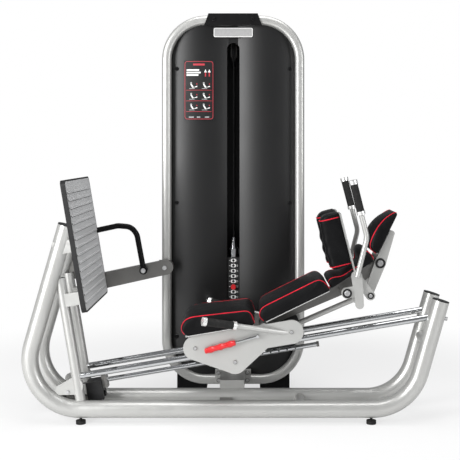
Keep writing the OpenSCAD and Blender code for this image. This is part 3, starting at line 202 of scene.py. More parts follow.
def brushed(name, color, rough, along=(1, 60, 60), metal=1.0):
    """Extruded or turned metal with lines along one axis."""
    shader = Shader(name, color, rough, metal)
    shader.roughen(shader.noise(40.0, 4, stretch=along), rough - 0.08, rough + 0.12)
    shader.bump(shader.noise(40.0, 3, stretch=along), 0.12, 0.0004)
    shader.tint(shader.noise(5.0, 3), 0.4, 0.8, tuple(c * 0.86 for c in color))
    return shader.material


def iron(name):
    """Black painted cast weights with a slightly lumpy skin."""
    shader = Shader(name, (0.012, 0.012, 0.0125), 0.5, shine=0.3)
    shader.tint(shader.noise(30.0, 5), 0.45, 0.8, (0.022, 0.022, 0.023))
    shader.bump(shader.noise(180.0, 4), 0.3, 0.001)
    return shader.material


def braided(name):
    """Nylon covered steel cable."""
    shader = Shader(name, (0.02, 0.02, 0.021), 0.35)
    shader.bump(shader.noise(600.0, 2, stretch=(1, 1, 6)), 0.3, 0.0005)
    shader.tint(shader.noise(80.0, 3), 0.5, 0.8, (0.05, 0.05, 0.05))
    return shader.material


def plain_print(name, color, rough=0.5):
    """Screen print or enamel, slightly uneven."""
    shader = Shader(name, color, rough)
    shader.tint(shader.noise(90.0, 4), 0.4, 0.8, tuple(c * 0.85 for c in color))
    shader.bump(shader.noise(700.0, 2), 0.05, 0.0003)
    return shader.material


MATERIALS = {
    "silver_frame": powder_coat("silver_frame", (0.45, 0.45, 0.436), 0.33, 0.5, (0.48, 0.48, 0.466)),
    "grey_metal": powder_coat("grey_metal", (0.14, 0.137, 0.13), 0.34, 0.5, (0.17, 0.167, 0.16)),
    "black_metal": powder_coat(
        "black_metal", (0.005, 0.005, 0.0053), 0.42, 0.0, (0.0065, 0.0065, 0.0068), shine=0.1, gloss=0.0),
    "black_panel": satin_panel("black_panel", (0.006, 0.006, 0.0063), 0.4, 0.4),
    "black_plastic": moulded("black_plastic", (0.009, 0.009, 0.0095), 0.48),
    "rubber": rubber("rubber", (0.01, 0.01, 0.01)),
    "chrome": chrome_plate("chrome"),
    "ribbed_aluminium": brushed("ribbed_aluminium", (0.7, 0.705, 0.71), 0.42, (60, 1, 60), 0.4),
    "polished_aluminium": brushed("polished_aluminium", (0.8, 0.8, 0.79), 0.24, metal=0.7),
    "steel_fastener": brushed("steel_fastener", (0.55, 0.55, 0.555), 0.3, metal=0.8),
    "weight_iron": iron("weight_iron"),
    "cable": braided("cable"),
    "pulley_nylon": moulded("pulley_nylon", (0.012, 0.012, 0.0125), 0.4),
    "red_plastic": moulded("red_plastic", (0.6, 0.018, 0.022), 0.33, other=(0.5, 0.012, 0.016), shine=0.5),
    "black_vinyl": vinyl("black_vinyl", (0.004, 0.004, 0.0044)),
}
PIPING = vinyl("red_piping", (0.5, 0.014, 0.03))
WHITE_PRINT = plain_print("white_print", (0.8, 0.8, 0.79))
RED_PRINT = plain_print("red_print", (0.45, 0.03, 0.045))
GREY_PRINT = plain_print("grey_print", (0.36, 0.36, 0.36))

for name, node in NODES.items():
    node.data.materials.clear()
    node.data.materials.append(MATERIALS[SLOT_OF[name]])


# Upholstery

RAIL_SLOPE = 9.55
BACK_SLOPE = 25.9
# Each pad: its body, the foot of its flat base in X and Z, the slope of that base and its half width
PADS = {
    "seat_pad": ("carriage", (-0.2313, 0.42296), RAIL_SLOPE, 0.185),
    "back_pad": ("back_rest", (0.13788, 0.48685), BACK_SLOPE, 0.170),
    "upper_back_pad": ("back_rest", (0.45114, 0.63813), 33.02, 0.140),
    "head_rest_pad": ("head_rest", (0.66973, 0.79223), 63.83, 0.110),
}
MIDDLE_Y = -0.18975
# The shoulder pads: foot and slope, place across, and where along them they are sewn and piped
SHOULDER = ((0.55084, 0.71932), 104.0)
SHOULDER_Y = 0.094
SHOULDER_CHANNELS = (0.076, 0.134, 0.190)
SHOULDER_RINGS = (("foot", 0.040), ("top", 0.262))
# The piping's radius, its place in from a pad's side, and the spacing of its points
PIPE_R = 0.0028
PIPE_INSET = 0.014
PIPE_STEP = 0.006
PIPE_SMOOTHINGS = 3
# How far nearness to a pad's foot counts against height where the piping begins
FOOT_PULL = 0.2
# What the simulation holds still: a band over the base and one along each seam
BASE_BAND = 0.006
SEAM_BAND = 0.004
SIM_FRAMES = 18
VOXEL = 0.0055
MOVE_CAP = 0.008
SIDES = ((-1, "near"), (1, "far"))


def slope_axes(slope):
    """Unit vectors along a plane that climbs in X at slope degrees, and up out of it."""
    angle = math.radians(slope)
    along = Vector((math.cos(angle), 0, math.sin(angle)))
    up = Vector((-math.sin(angle), 0, math.cos(angle)))
    return along, up


class PadFrame:
    """A pad's own axes: along its base, across the machine, and up out of the base."""

    def __init__(self, foot, slope, middle=MIDDLE_Y):
        self.along, self.up = slope_axes(slope)
        self.foot = Vector((foot[0], middle, foot[1]))

    def local(self, point):
        away = point - self.foot
        return Vector((away.dot(self.along), away.y, away.dot(self.up)))

    def world(self, a, y, u):
        return self.foot + self.along * a + Vector((0, y, 0)) + self.up * u


def only_active(obj):
    bpy.ops.object.select_all(action="DESELECT")
    obj.select_set(True)
    bpy.context.view_layer.objects.active = obj


def apply_modifier(obj, modifier):
    only_active(obj)
    bpy.ops.object.modifier_apply(modifier=modifier.name)


def new_object(name, mesh, material):
    obj = bpy.data.objects.new(name, mesh)
    scene.collection.objects.link(obj)
    if material is not None:
        mesh.materials.clear()
        mesh.materials.append(material)
    return obj


def copy_of(node, name):
    return new_object(name, NODES[node].data.copy(), MATERIALS["black_vinyl"])


def smooth(obj):
    for face in obj.data.polygons:
        face.use_smooth = True


def stuffed(obj, held):
    """Blows the pad up as cloth over its foam; held(point) says which points stay put."""
    remesh = obj.modifiers.new("remesh", "REMESH")
    remesh.mode = "VOXEL"
    remesh.voxel_size = VOXEL
    apply_modifier(obj, remesh)
    rest = [v.co.copy() for v in obj.data.vertices]
    pins = obj.vertex_groups.new(name="held")
    pins.add([i for i, co in enumerate(rest) if held(co)], 1.0, "REPLACE")
    cloth = obj.modifiers.new("cloth", "CLOTH")
    settings = cloth.settings
    settings.quality = 5
    settings.mass = 0.3
    settings.tension_stiffness = 12
    settings.compression_stiffness = 12
    settings.shear_stiffness = 6
    settings.bending_stiffness = 0.6
    settings.use_pressure = True
    settings.uniform_pressure_force = 4
    settings.effector_weights.gravity = 0
    settings.vertex_group_mass = "held"
    cloth.point_cache.frame_start = 1
    cloth.point_cache.frame_end = SIM_FRAMES
    for step in range(1, SIM_FRAMES + 1):
        scene.frame_set(step)
    apply_modifier(obj, cloth)
    scene.frame_set(1)
    for vertex, start in zip(obj.data.vertices, rest):
        moved = vertex.co - start
        if moved.length > MOVE_CAP:
            vertex.co = start + moved * (MOVE_CAP / moved.length)
    finer = obj.modifiers.new("finer", "SUBSURF")
    finer.levels = 1
    apply_modifier(obj, finer)
    smooth(obj)


def section_loops(obj, point, normal):
    """Closed rings of points where a plane cuts a mesh."""
    mesh = bmesh.new()
    mesh.from_mesh(obj.data)
    cut = bmesh.ops.bisect_plane(
        mesh, geom=mesh.verts[:] + mesh.edges[:] + mesh.faces[:], plane_co=point, plane_no=normal)
    edges = [e for e in cut["geom_cut"] if isinstance(e, bmesh.types.BMEdge)]
    beside = {}
    for edge in edges:
        a, b = edge.verts
        beside.setdefault(a, []).append(b)
        beside.setdefault(b, []).append(a)
    rings = []
    left = set(beside)
    while left:
        start = min(left, key=lambda v: tuple(v.co))
        ring = [start]
        left.discard(start)
        while True:
            onward = [v for v in beside[ring[-1]] if v in left]
            if not onward:
                break
            ring.append(onward[0])
            left.discard(onward[0])
        rings.append([v.co.copy() for v in ring])
    mesh.free()
    return rings


def even_points(points, step, closed):
    """Points at an even spacing along a line, lightly smoothed."""
    if closed:
        points = points + [points[0]]
    out = [points[0]]
    carry = 0.0
    for a, b in zip(points, points[1:]):
        length = (b - a).length
        while length > 1e-9 and carry + length >= step:
            t = (step - carry) / length
            a = a.lerp(b, t)
            out.append(a.copy())
            length = (b - a).length
            carry = 0.0
        carry += length
    for _ in range(PIPE_SMOOTHINGS):
        last = len(out)
        out = [
            out[i] if not closed and i in (0, last - 1)
            else out[i] * 0.5 + (out[i - 1] + out[(i + 1) % last]) * 0.25
            for i in range(last)
        ]
    return out


TUBE_ROUNDNESS = 2


def tube(name, points, radius, material, closed=False):
    """A round tube along points, as a mesh."""
    curve = bpy.data.curves.new(name, "CURVE")
    curve.dimensions = "3D"
    curve.bevel_depth = radius
    curve.bevel_resolution = TUBE_ROUNDNESS
    curve.use_fill_caps = True
    line = curve.splines.new("POLY")
    line.points.add(len(points) - 1)
    for place, co in zip(line.points, points):
        place.co = (*co, 1)
    line.use_cyclic_u = closed
    holder = bpy.data.objects.new(name + "_line", curve)
    scene.collection.objects.link(holder)
    mesh = bpy.data.meshes.new_from_object(holder.evaluated_get(bpy.context.evaluated_depsgraph_get()))
    bpy.data.objects.remove(holder)
    obj = new_object(name, mesh, material)
    smooth(obj)
    return obj


def side_piping(obj, pad, half, name, body):
    """Piping up one end, over the top and down the other, along both sides of a pad."""
    for side, label in SIDES:
        place = pad.world(0, side * (half - PIPE_INSET), 0)
        ring = max(section_loops(obj, place, Vector((0, 1, 0))), key=len)
        low = min(pad.local(p).z for p in ring) + BASE_BAND
        places = [pad.local(p) for p in ring]
        start = min(range(len(ring)), key=lambda i: places[i].z + abs(places[i].x) * FOOT_PULL)
        ring = ring[start:] + ring[:start]
        kept = [p for p in ring if pad.local(p).z > low]
        line = even_points(kept, PIPE_STEP, False)
        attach(tube(f"{name}_piping_{label}", line, PIPE_R, PIPING), body)


def make_pads():
    """The four pads that lie on boards, each with piping along both sides."""
    for name, (body, foot, slope, half) in PADS.items():
        pad = PadFrame(foot, slope)
        seam = half - PIPE_INSET
        obj = copy_of(name, name + "_cover")

        def held(co):
            place = pad.local(co)
            return place.z < BASE_BAND or abs(abs(place.y) - seam) < SEAM_BAND

        stuffed(obj, held)
        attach(obj, body)
        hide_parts(name)
        side_piping(obj, pad, half, name, body)


def make_shoulder_pads():
    """Two upright pads with sewn channels across and a piped ring at each end."""
    foot, slope = SHOULDER
    covers = []
    for side, label in SIDES:
        pad = PadFrame(foot, slope, MIDDLE_Y + side * SHOULDER_Y)
        obj = copy_of("shoulder_pads", f"shoulder_pad_{label}")
        mesh = bmesh.new()
        mesh.from_mesh(obj.data)
        other = [v for v in mesh.verts if (v.co.y - MIDDLE_Y) * side < 0]
        bmesh.ops.delete(mesh, geom=other, context="VERTS")
        mesh.to_mesh(obj.data)
        mesh.free()

        def held(co):
            place = pad.local(co)
            sewn = min(abs(place.x - channel) for channel in SHOULDER_CHANNELS) < SEAM_BAND
            ring = min(abs(place.x - at) for _, at in SHOULDER_RINGS) < SEAM_BAND
            return place.z < BASE_BAND or sewn or ring

        stuffed(obj, held)
        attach(obj, "shoulder_rest")
        covers.append(obj)
        for ring_name, at in SHOULDER_RINGS:
            loop = max(section_loops(obj, pad.world(at, 0, 0), pad.along), key=len)
            line = even_points(loop, PIPE_STEP, True)
            ring = tube(f"shoulder_piping_{label}_{ring_name}", line, PIPE_R, PIPING, closed=True)
            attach(ring, "shoulder_rest")
    for obj in covers:
        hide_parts("shoulder_pads")


make_pads()
make_shoulder_pads()


# Small pieces and prints

ORIGIN = Vector((0.0217903, 0.18975, 0))


def cad(x, y, z):
    """A place written in the CAD source's millimetres."""
    return Vector((x, y, z)) * MM - ORIGIN


def mesh_piece(name, points, faces, material):
    mesh = bpy.data.meshes.new(name)
    mesh.from_pydata([tuple(p) for p in points], [], faces)
    mesh.update()
    return new_object(name, mesh, material)


def circle_steps(count):
    """Cosine and sine of count even turns round a circle."""
    turns = [2 * math.pi * k / count for k in range(count)]
    return [(math.cos(turn), math.sin(turn)) for turn in turns]


def band(low, high, count):
    """Faces between two rings of count points, each given by the number of its first point."""
    return [[low + k, low + (k + 1) % count, high + (k + 1) % count, high + k] for k in range(count)]


# The left front panel's round face and what is printed over it, in the CAD source's millimetres
PANEL_X = -178.0
PANEL_CENTRE_Y = 783.3
PANEL_R = 417.3
PLACARD_T = 3.0
PRINT_LIFT = 0.35
DISC_STEPS = 16


def on_placard(x, z, lift):
    """A point over the curved placard, x and z in millimetres as seen from the front."""
    reach = PANEL_R + PLACARD_T + lift
    turn = math.asin((x - PANEL_X) / reach)
    return cad(PANEL_X + reach * math.sin(turn), PANEL_CENTRE_Y - reach * math.cos(turn), z)


def round_loop(left, right, low, high, radius, corner=8, straight=10):
    """Points round a rectangle with round corners, counted alike for any size."""
    loop = []
    spots = ((right - radius, high - radius), (left + radius, high - radius),
             (left + radius, low + radius), (right - radius, low + radius))
    for k, (x, z) in enumerate(spots):
        for i in range(corner + 1):
            turn = math.pi / 2 * (k + i / corner)
            loop.append((x + radius * math.cos(turn), z + radius * math.sin(turn)))
        ax, az = loop[-1]
        next_x, next_z = spots[(k + 1) % len(spots)]
        turn = math.pi / 2 * (k + 1)
        bx, bz = next_x + radius * math.cos(turn), next_z + radius * math.sin(turn)
        loop += [
            (ax + (bx - ax) * i / straight, az + (bz - az) * i / straight) for i in range(1, straight)]
    return loop


class Print:
    """Many small flat shapes of one colour, joined into one piece."""

    def __init__(self, lift):
        self.lift = lift
        self.points = []
        self.faces = []

    def shape(self, corners):
        first = len(self.points)
        self.points += [on_placard(x, z, self.lift) for x, z in corners]
        self.faces.append(list(range(first, first + len(corners))))

    def block(self, x0, x1, z0, z1, parts=1):
        step = (x1 - x0) / parts
        for i in range(parts):
            a = x0 + i * step
            self.shape([(a, z0), (a + step, z0), (a + step, z1), (a, z1)])

    def disc(self, x, z, r):
        self.shape([(x + r * c, z + r * s) for c, s in circle_steps(DISC_STEPS)])

    def border(self, left, right, low, high, radius, width):
        """A thin line round a rectangle with round corners."""
        outer = round_loop(left, right, low, high, radius)
        inner = round_loop(left + width, right - width, low + width, high - width, radius - width)
        for i in range(len(outer)):
            j = (i + 1) % len(outer)
            self.shape([outer[i], outer[j], inner[j], inner[i]])

    def piece(self, name, material):
        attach(mesh_piece(name, self.points, self.faces, material), "frame")


PLACARD_X = (-258, -101)
PLACARD_Z = (1442, 1753)
BORDER_IN = 4
BORDER_R = 14
BORDER_W = 2.4
# Blank lines that stand for words: the heading's and the foot's widths, and how they are spaced
HEADING_WIDTHS = (66, 74, 62)
HEADING_STEP = 13
FOOT_WIDTHS = (26, 18, 22)
FOOT_STEP = 42
ARROW_STEP = 20
SEAT_ROWS = 3
SEAT_ROW_STEP = 56
SEAT_COLUMN_STEP = 66


def seat_pictogram(red, white, grey, x, z):
    """A head, a back and a leg on a seat line, with a red mark where the feet push."""
    grey.disc(x + 12, z + 30, 5)
    white.shape([(x + 8, z + 24), (x + 14, z + 26), (x + 26, z + 8), (x + 18, z + 6)])
    white.shape([(x + 18, z + 6), (x + 26, z + 8), (x + 44, z + 16), (x + 44, z + 10)])
    grey.block(x + 2, x + 30, z, z + 3)
    red.block(x + 40, x + 44, z + 22, z + 28)


def placard_prints():
    """A plain instruction placard: a border, ruled rows, simple seats and blank lines for words."""
    left, right = PLACARD_X
    low, high = PLACARD_Z
    red = Print(PRINT_LIFT)
    white = Print(PRINT_LIFT)
    grey = Print(PRINT_LIFT)
    red.border(left + BORDER_IN, right - BORDER_IN, low + BORDER_IN, high - BORDER_IN, BORDER_R, BORDER_W)
    middle = (left + right) / 2
    red.block(middle - 30, middle + 30, high - 26, high - 16, 4)
    for row, width in enumerate(HEADING_WIDTHS):
        top = high - 46 - row * HEADING_STEP
        white.block(left + 14, left + 14 + width, top - 8, top, 4)
    for i in (0, 1):
        x = right - 44 + i * ARROW_STEP
        white.shape([(x - 7, high - 62), (x + 7, high - 62), (x, high - 46)])
        red.block(x - 3, x + 3, high - 84, high - 62)
    for row in range(SEAT_ROWS):
        base = high - 148 - row * SEAT_ROW_STEP
        red.block(left + 12, right - 12, base - 8, base - 6, 6)
        for column in (0, 1):
            seat_pictogram(red, white, grey, left + 26 + column * SEAT_COLUMN_STEP, base)
    for i, width in enumerate(FOOT_WIDTHS):
        x = left + 26 + i * FOOT_STEP
        grey.block(x, x + width, low + 12, low + 18)
    red.piece("placard_red", RED_PRINT)
    white.piece("placard_white", WHITE_PRINT)
    grey.piece("placard_grey", GREY_PRINT)


# The weight stack as the CAD source has it, and the label round each pin hole
STACK_X = 0.0
STACK_FRONT = 402.0
STACK_Z = 167.0
STACK_PITCH = 27.5
WEIGHT_T = 27.2
WEIGHTS = 20
WEIGHT_STEP_KG = 5
RESTING = 14
LABEL = (26.0, 17.0)
LABEL_STEPS = 16
HOLE_R = 7.0
TICK_X = (-22, -16)
TICK_HALF = 1
# The strokes of a plain numeral: both ends, in widths and half heights
STROKES = {
    "a": (0, 2, 1, 2), "b": (1, 1, 1, 2), "c": (1, 0, 1, 1), "d": (0, 0, 1, 0),
    "e": (0, 0, 0, 1), "f": (0, 1, 0, 2), "g": (0, 1, 1, 1),
}
NUMERALS = {
    "0": "abcdef", "1": "bc", "2": "abged", "3": "abgcd", "4": "fgbc",
    "5": "afgcd", "6": "afgedc", "7": "abc", "8": "abcdefg", "9": "gfabcd",
}
NUMERAL_X = 15.5
NUMERAL_STEP = 5
NUMERAL_W = 3
NUMERAL_HALF_H = 4
STROKE_HALF = 0.5


class StackPrint:
    """Labels on the fronts of some of the weights, joined into one piece."""

    def __init__(self):
        self.points = []
        self.faces = []

    def add(self, places):
        start = len(self.points)
        self.points += [cad(x, STACK_FRONT - PRINT_LIFT, z) for x, z in places]
        return start

    def block(self, x0, x1, z0, z1):
        start = self.add(((x0, z0), (x1, z0), (x1, z1), (x0, z1)))
        self.faces.append([start, start + 1, start + 2, start + 3])

    def hole_label(self, z):
        """A white label with the pin's hole left open."""
        half_w, half_h = LABEL[0] / 2, LABEL[1] / 2
        tiny = 1e-6
        start = len(self.points)
        for c, s in circle_steps(LABEL_STEPS):
            grow = min(half_w / max(abs(c), tiny), half_h / max(abs(s), tiny))
            self.add(((STACK_X + HOLE_R * c, z + HOLE_R * s), (STACK_X + grow * c, z + grow * s)))
        for k in range(LABEL_STEPS):
            a, b = start + 2 * k, start + 2 * ((k + 1) % LABEL_STEPS)
            self.faces.append([a, a + 1, b + 1, b])

    def numeral(self, digit, x, z):
        for stroke in NUMERALS[digit]:
            ax, az, bx, bz = STROKES[stroke]
            self.block(
                x + ax * NUMERAL_W - STROKE_HALF, x + bx * NUMERAL_W + STROKE_HALF,
                z + (az - 1) * NUMERAL_HALF_H - STROKE_HALF, z + (bz - 1) * NUMERAL_HALF_H + STROKE_HALF)


def weight_labels():
    """A white label round each pin hole, with a tick and the plain weight beside it."""
    groups = (("frame", 0, RESTING, "rest"), ("picked_stack", RESTING, WEIGHTS, "picked"))
    for body, first, last, label in groups:
        stack = StackPrint()
        for i in range(first, last):
            z = STACK_Z + i * STACK_PITCH + WEIGHT_T / 2
            stack.hole_label(z)
            stack.block(*TICK_X, z - TICK_HALF, z + TICK_HALF)
            for place, digit in enumerate(str(WEIGHT_STEP_KG * (WEIGHTS - i))):
                stack.numeral(digit, NUMERAL_X + place * NUMERAL_STEP, z)
        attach(mesh_piece(f"weight_labels_{label}", stack.points, stack.faces, WHITE_PRINT), body)


RING_STEPS = 40
BOLT_STEPS = 24
# A bolt head's shares of its radius and depth: shoulder, rounded edge and socket
BOLT_SHOULDER = 0.6
BOLT_EDGE = 0.82
BOLT_SOCKET = 0.4


def ring_round(name, place, outer, inner, depth, material, body):
    """A flat ring facing the camera side, standing out from place."""
    section = ((inner, 0), (inner, -depth), (outer, -depth), (outer, 0))
    points = []
    for c, s in circle_steps(RING_STEPS):
        points += [place + Vector((radius * c, y, radius * s)) * MM for radius, y in section]
    corners = len(section)
    faces = []
    for k in range(RING_STEPS):
        a, b = corners * k, corners * ((k + 1) % RING_STEPS)
        for i in range(corners):
            j = (i + 1) % corners
            faces.append([a + i, a + j, b + j, b + i])
    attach(mesh_piece(name, points, faces, material), body)


def bolt_head(name, place, radius, depth, material, body):
    """A round bolt head with a rounded edge and a socket, facing the camera side."""
    rings = (
        (radius, 0), (radius, depth * BOLT_SHOULDER), (radius * BOLT_EDGE, depth),
        (radius * BOLT_SOCKET, depth), (radius * BOLT_SOCKET, depth * BOLT_SOCKET))
    points = []
    for r, y in rings:
        points += [place + Vector((r * c, -y, r * s)) * MM for c, s in circle_steps(BOLT_STEPS)]
    faces = []
    last = (len(rings) - 1) * BOLT_STEPS
    for low in range(0, last, BOLT_STEPS):
        faces += band(low, low + BOLT_STEPS, BOLT_STEPS)
    faces.append([last + k for k in range(BOLT_STEPS)])
    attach(mesh_piece(name, points, faces, material), body)


# Pivots in the side view as X and Z, the CAD face they stand on, and the body they turn with
PIVOTS = {
    "shoulder": (539.632, 623.315, -186.0, 22, "shoulder_rest"),
    "link": (650.632, 608.315, -164.0, 15, "head_rest"),
    "head": (705.632, 750.315, -89.0, 24, "head_rest"),
}


PIVOT_RING_D = 3
PIVOT_RING_IN = 0.62
PIVOT_BOLT_D = 4.5
PIVOT_BOLT_R = 0.58


def pivot_rings():
    """A black ring and a bright bolt at each near pivot of the back."""
    black, bright = MATERIALS["black_plastic"], MATERIALS["steel_fastener"]
    for name, (x, z, y, radius, body) in PIVOTS.items():
        place = cad(x, y, z)
        ring_round(f"pivot_ring_{name}", place, radius, radius * PIVOT_RING_IN, PIVOT_RING_D, black, body)
        bolt_head(f"pivot_bolt_{name}", place, radius * PIVOT_BOLT_R, PIVOT_BOLT_D, bright, body)


# The lock lever as the CAD source has it
LEVER_PIVOT = (126.136, 423.047)
LEVER_SLOPE = 195.9
LEVER_LEN = 250.0
RED_LEN = 144.0
LEVER_Y = -174.0
# The grip over it: length, radius, ridges, and how far in and how much its ends are rounded
GRIP_LEN = RED_LEN + 4
GRIP_R = 12.6
GRIP_RIDGE = 2.4
GRIP_PITCH = 46.0
GRIP_ROUND = 5
GRIP_END = 0.72
GRIP_PLAIN = 4
GRIP_ROWS = 72
GRIP_SPOKES = 32


def twisted_grip():
    """The red lever grip, moulded with two ridges that wind along it."""
    along, up = slope_axes(LEVER_SLOPE)
    side = Vector((0, 1, 0))
    foot = cad(LEVER_PIVOT[0], LEVER_Y, LEVER_PIVOT[1]) + along * (LEVER_LEN - RED_LEN) * MM
    points = []
    for i in range(GRIP_ROWS + 1):
        at = i / GRIP_ROWS * GRIP_LEN
        end = min(at, GRIP_LEN - at)
        swell = GRIP_END + (1 - GRIP_END) * math.sqrt(max(end, 0) / GRIP_ROUND)
        body_r = GRIP_R * min(1.0, swell)
        for k in range(GRIP_SPOKES):
            turn = 2 * math.pi * k / GRIP_SPOKES
            wave = max(0.0, math.cos(2 * (turn - math.pi * at / GRIP_PITCH))) ** 1.5
            r = body_r + (GRIP_RIDGE * wave if end > GRIP_PLAIN else 0)
            points.append(foot + along * at * MM + (side * math.cos(turn) + up * math.sin(turn)) * r * MM)
    faces = []
    last = GRIP_ROWS * GRIP_SPOKES
    for low in range(0, last, GRIP_SPOKES):
        faces += band(low, low + GRIP_SPOKES, GRIP_SPOKES)
    faces.append(list(range(GRIP_SPOKES))[::-1])
    faces.append([last + k for k in range(GRIP_SPOKES)])
    obj = mesh_piece("lever_grip_twist", points, faces, MATERIALS["red_plastic"])
    smooth(obj)
    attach(obj, "lock_lever")
    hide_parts("lever_grip")


CABLE_R = 0.003
FOOT_CABLE_PARTS = 12
STACK_CABLE_PARTS = 40


def straight_cable(name, start, end, parts):
    line = [start.lerp(end, i / parts) for i in range(parts + 1)]
    return tube(name, line, CABLE_R, MATERIALS["cable"])


def cable_runs():
    """The two lengths of cable that grow and shrink as the press bar and the weights move, each built here
    as one fixed straight tube where it stands.
    """
    low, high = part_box("foot_cable_run")
    middle_y = (low.y + high.y) / 2
    slope = math.tan(math.radians(RAIL_SLOPE))
    start = Vector((low.x + CABLE_R * slope, middle_y, low.z + CABLE_R))
    end = Vector((high.x - CABLE_R * slope, middle_y, high.z - CABLE_R))
    run = straight_cable("foot_cable", start, end, FOOT_CABLE_PARTS)
    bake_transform(run)
    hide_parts("foot_cable_run")
    low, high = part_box("stack_cable_run")
    x, y = (low.x + high.x) / 2, (low.y + high.y) / 2
    top, foot = Vector((x, y, high.z)), Vector((x, y, low.z))
    run = straight_cable("stack_cable", top, foot, STACK_CABLE_PARTS)
    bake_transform(run)
    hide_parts("stack_cable_run")


# The foot plate's ribs as the CAD source has them
PLATE_LOW = (-666.03, 556.77)
PLATE_T = 22.0
RIB_FIRST = 35.0
RIB_PITCH = 36.0
RIBS = 15
RIB_W = 9.0
RIB_HALF = 265.5
RIVET_Y = -276.0
# Radius and height of a rivet's foot and of its top
RIVET_RINGS = ((4.0, 0.0), (3.2, 1.6))
RIVET_STEPS = 12
# Width of the black strip of painted shade under each rib
RIB_SHADE_W = 2.2


def plate_rivets():
    """A small dark rivet at the near end of each rib of the foot plate."""
    out, up = slope_axes(RAIL_SLOPE)
    foot = cad(PLATE_LOW[0], RIVET_Y, PLATE_LOW[1])
    points = []
    faces = []
    for i in range(RIBS):
        middle = foot + (out * PLATE_T + up * (RIB_FIRST + i * RIB_PITCH)) * MM
        start = len(points)
        for r, h in RIVET_RINGS:
            for c, s in circle_steps(RIVET_STEPS):
                points.append(middle + (out * h + up * r * c + Vector((0, r * s, 0))) * MM)
        top = start + RIVET_STEPS
        faces += band(start, top, RIVET_STEPS)
        faces.append([top + k for k in range(RIVET_STEPS)])
    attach(mesh_piece("plate_rivets", points, faces, MATERIALS["black_plastic"]), "frame")


def painted_rib_shade():
    """A thin black strip under each rib of the foot plate: painted shade that stands in for the shadow in
    the groove below the rib.
    """
    out, up = slope_axes(RAIL_SLOPE)
    foot = cad(PLATE_LOW[0], 0, PLATE_LOW[1]) + out * (PLATE_T + PRINT_LIFT) * MM
    points = []
    faces = []
    for i in range(RIBS):
        top = RIB_FIRST + i * RIB_PITCH - RIB_W / 2
        low = top - RIB_SHADE_W
        start = len(points)
        for y, h in ((-RIB_HALF, low), (RIB_HALF, low), (RIB_HALF, top), (-RIB_HALF, top)):
            points.append(foot + up * h * MM + Vector((0, y * MM, 0)))
        faces.append([start, start + 1, start + 2, start + 3])
    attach(mesh_piece("painted_rib_shade", points, faces, MATERIALS["black_plastic"]), "frame")


# Screw places as X, Y, Z and radius, then bolt places, all in the CAD source's millimetres
SCREWS = {
    "panel": [(side * 297.0, 378.0, z, 10.4) for side in (-1, 1) for z in (307.0, 1009.0, 1711.0)],
    "top": [(side * 100.0, 326.0, 1965.0, 8.4) for side in (-1, 1)],
}
BRACKET_BOLTS = [(side * 74.5, 322.0, z) for side in (-1, 1) for z in (92.0, 131.0)]
AXLES = ((-163.987, 363.386), (283.721, 438.708), (21.225, 299.225))
AXLE_FACE = -159.0
SCREW_DEPTH = 2.4
BOLT_DEPTH = 2.6
WASHER_T = 1.2


def washer_bolt(name, number, place, washer, bolt_r, body):
    """A bright bolt in a grey washer, whose outer and inner radius are given."""
    ring_round(f"{name}_washer_{number}", place, *washer, WASHER_T, MATERIALS["grey_metal"], body)
    bolt_head(f"{name}_bolt_{number}", place, bolt_r, BOLT_DEPTH, MATERIALS["steel_fastener"], body)


def bolt_heads():
    """Black socket screws on the tower, and bright bolts on its bracket and the near side plate."""
    for group, places in SCREWS.items():
        for i, (x, y, z, radius) in enumerate(places):
            place = cad(x, y, z)
            bolt_head(f"{group}_screw_{i}", place, radius, SCREW_DEPTH, MATERIALS["black_metal"], "frame")
    for i, (x, y, z) in enumerate(BRACKET_BOLTS):
        washer_bolt("bracket", i, cad(x, y, z), (11, 7.6), 7.4, "frame")
    for i, (x, z) in enumerate(AXLES):
        washer_bolt("axle", i, cad(x, AXLE_FACE, z), (9, 7.2), 7.0, "carriage")


BADGE = (-102.0, 102.0, 1876.0, 1924.0)
BADGE_Y = 369.0
BADGE_R = 8
BADGE_RIM = 3.5


def badge_plate():
    """A blank badge with a pale rim."""
    left, right, low, high = BADGE
    rim = BADGE_RIM
    outer = round_loop(left, right, low, high, BADGE_R)
    inner = round_loop(left + rim, right - rim, low + rim, high - rim, BADGE_R - rim)
    count = len(outer)
    points = [cad(x, BADGE_Y - PRINT_LIFT, z) for x, z in outer + inner]
    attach(mesh_piece("badge_rim", points, band(0, count, count), WHITE_PRINT), "frame")
    points = [cad(x, BADGE_Y - PRINT_LIFT, z) for x, z in inner]
    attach(mesh_piece("badge_face", points, [list(range(count))], GREY_PRINT), "frame")


# Foot in the side view, slope, reach along it, place across and body of the strip under two pads
EDGINGS = {
    "seat": ((-209.45, 422.66), RAIL_SLOPE, (8, 318), 178.0, "carriage"),
    "back": ((159.803, 486.581), BACK_SLOPE, (6, 332), 166.0, "back_rest"),
}
EDGING_W = 10
EDGING_UP = (-3.4, -0.6)
BOX_FACES = ((0, 1, 3, 2), (4, 6, 7, 5), (0, 4, 5, 1), (2, 3, 7, 6), (0, 2, 6, 4), (1, 5, 7, 3))


def pad_edgings():
    """The bright edge of the boards that show as a line under the seat and back pads."""
    for name, ((x, z), slope, reach, out_y, body) in EDGINGS.items():
        along, up = slope_axes(slope)
        points = []
        faces = []
        for side in (-1, 1):
            start = len(points)
            for s in reach:
                for y in (out_y - EDGING_W, out_y):
                    points += [cad(x, side * y, z) + (along * s + up * h) * MM for h in EDGING_UP]
            faces += [[start + i for i in corners] for corners in BOX_FACES]
        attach(mesh_piece(f"pad_edging_{name}", points, faces, MATERIALS["polished_aluminium"]), body)


RING_X = 372.0
RING_Z = (63.0, 1987.0)
RING_R = 230.0
RING_W = 49.0
RING_Y = (340.0, 400.0)
RING_SPOKES = 28
# Below 1 the section's corners fill out towards a square
RING_SECTION_POWER = 0.72


def swollen(value):
    return math.copysign(abs(value) ** RING_SECTION_POWER, value)


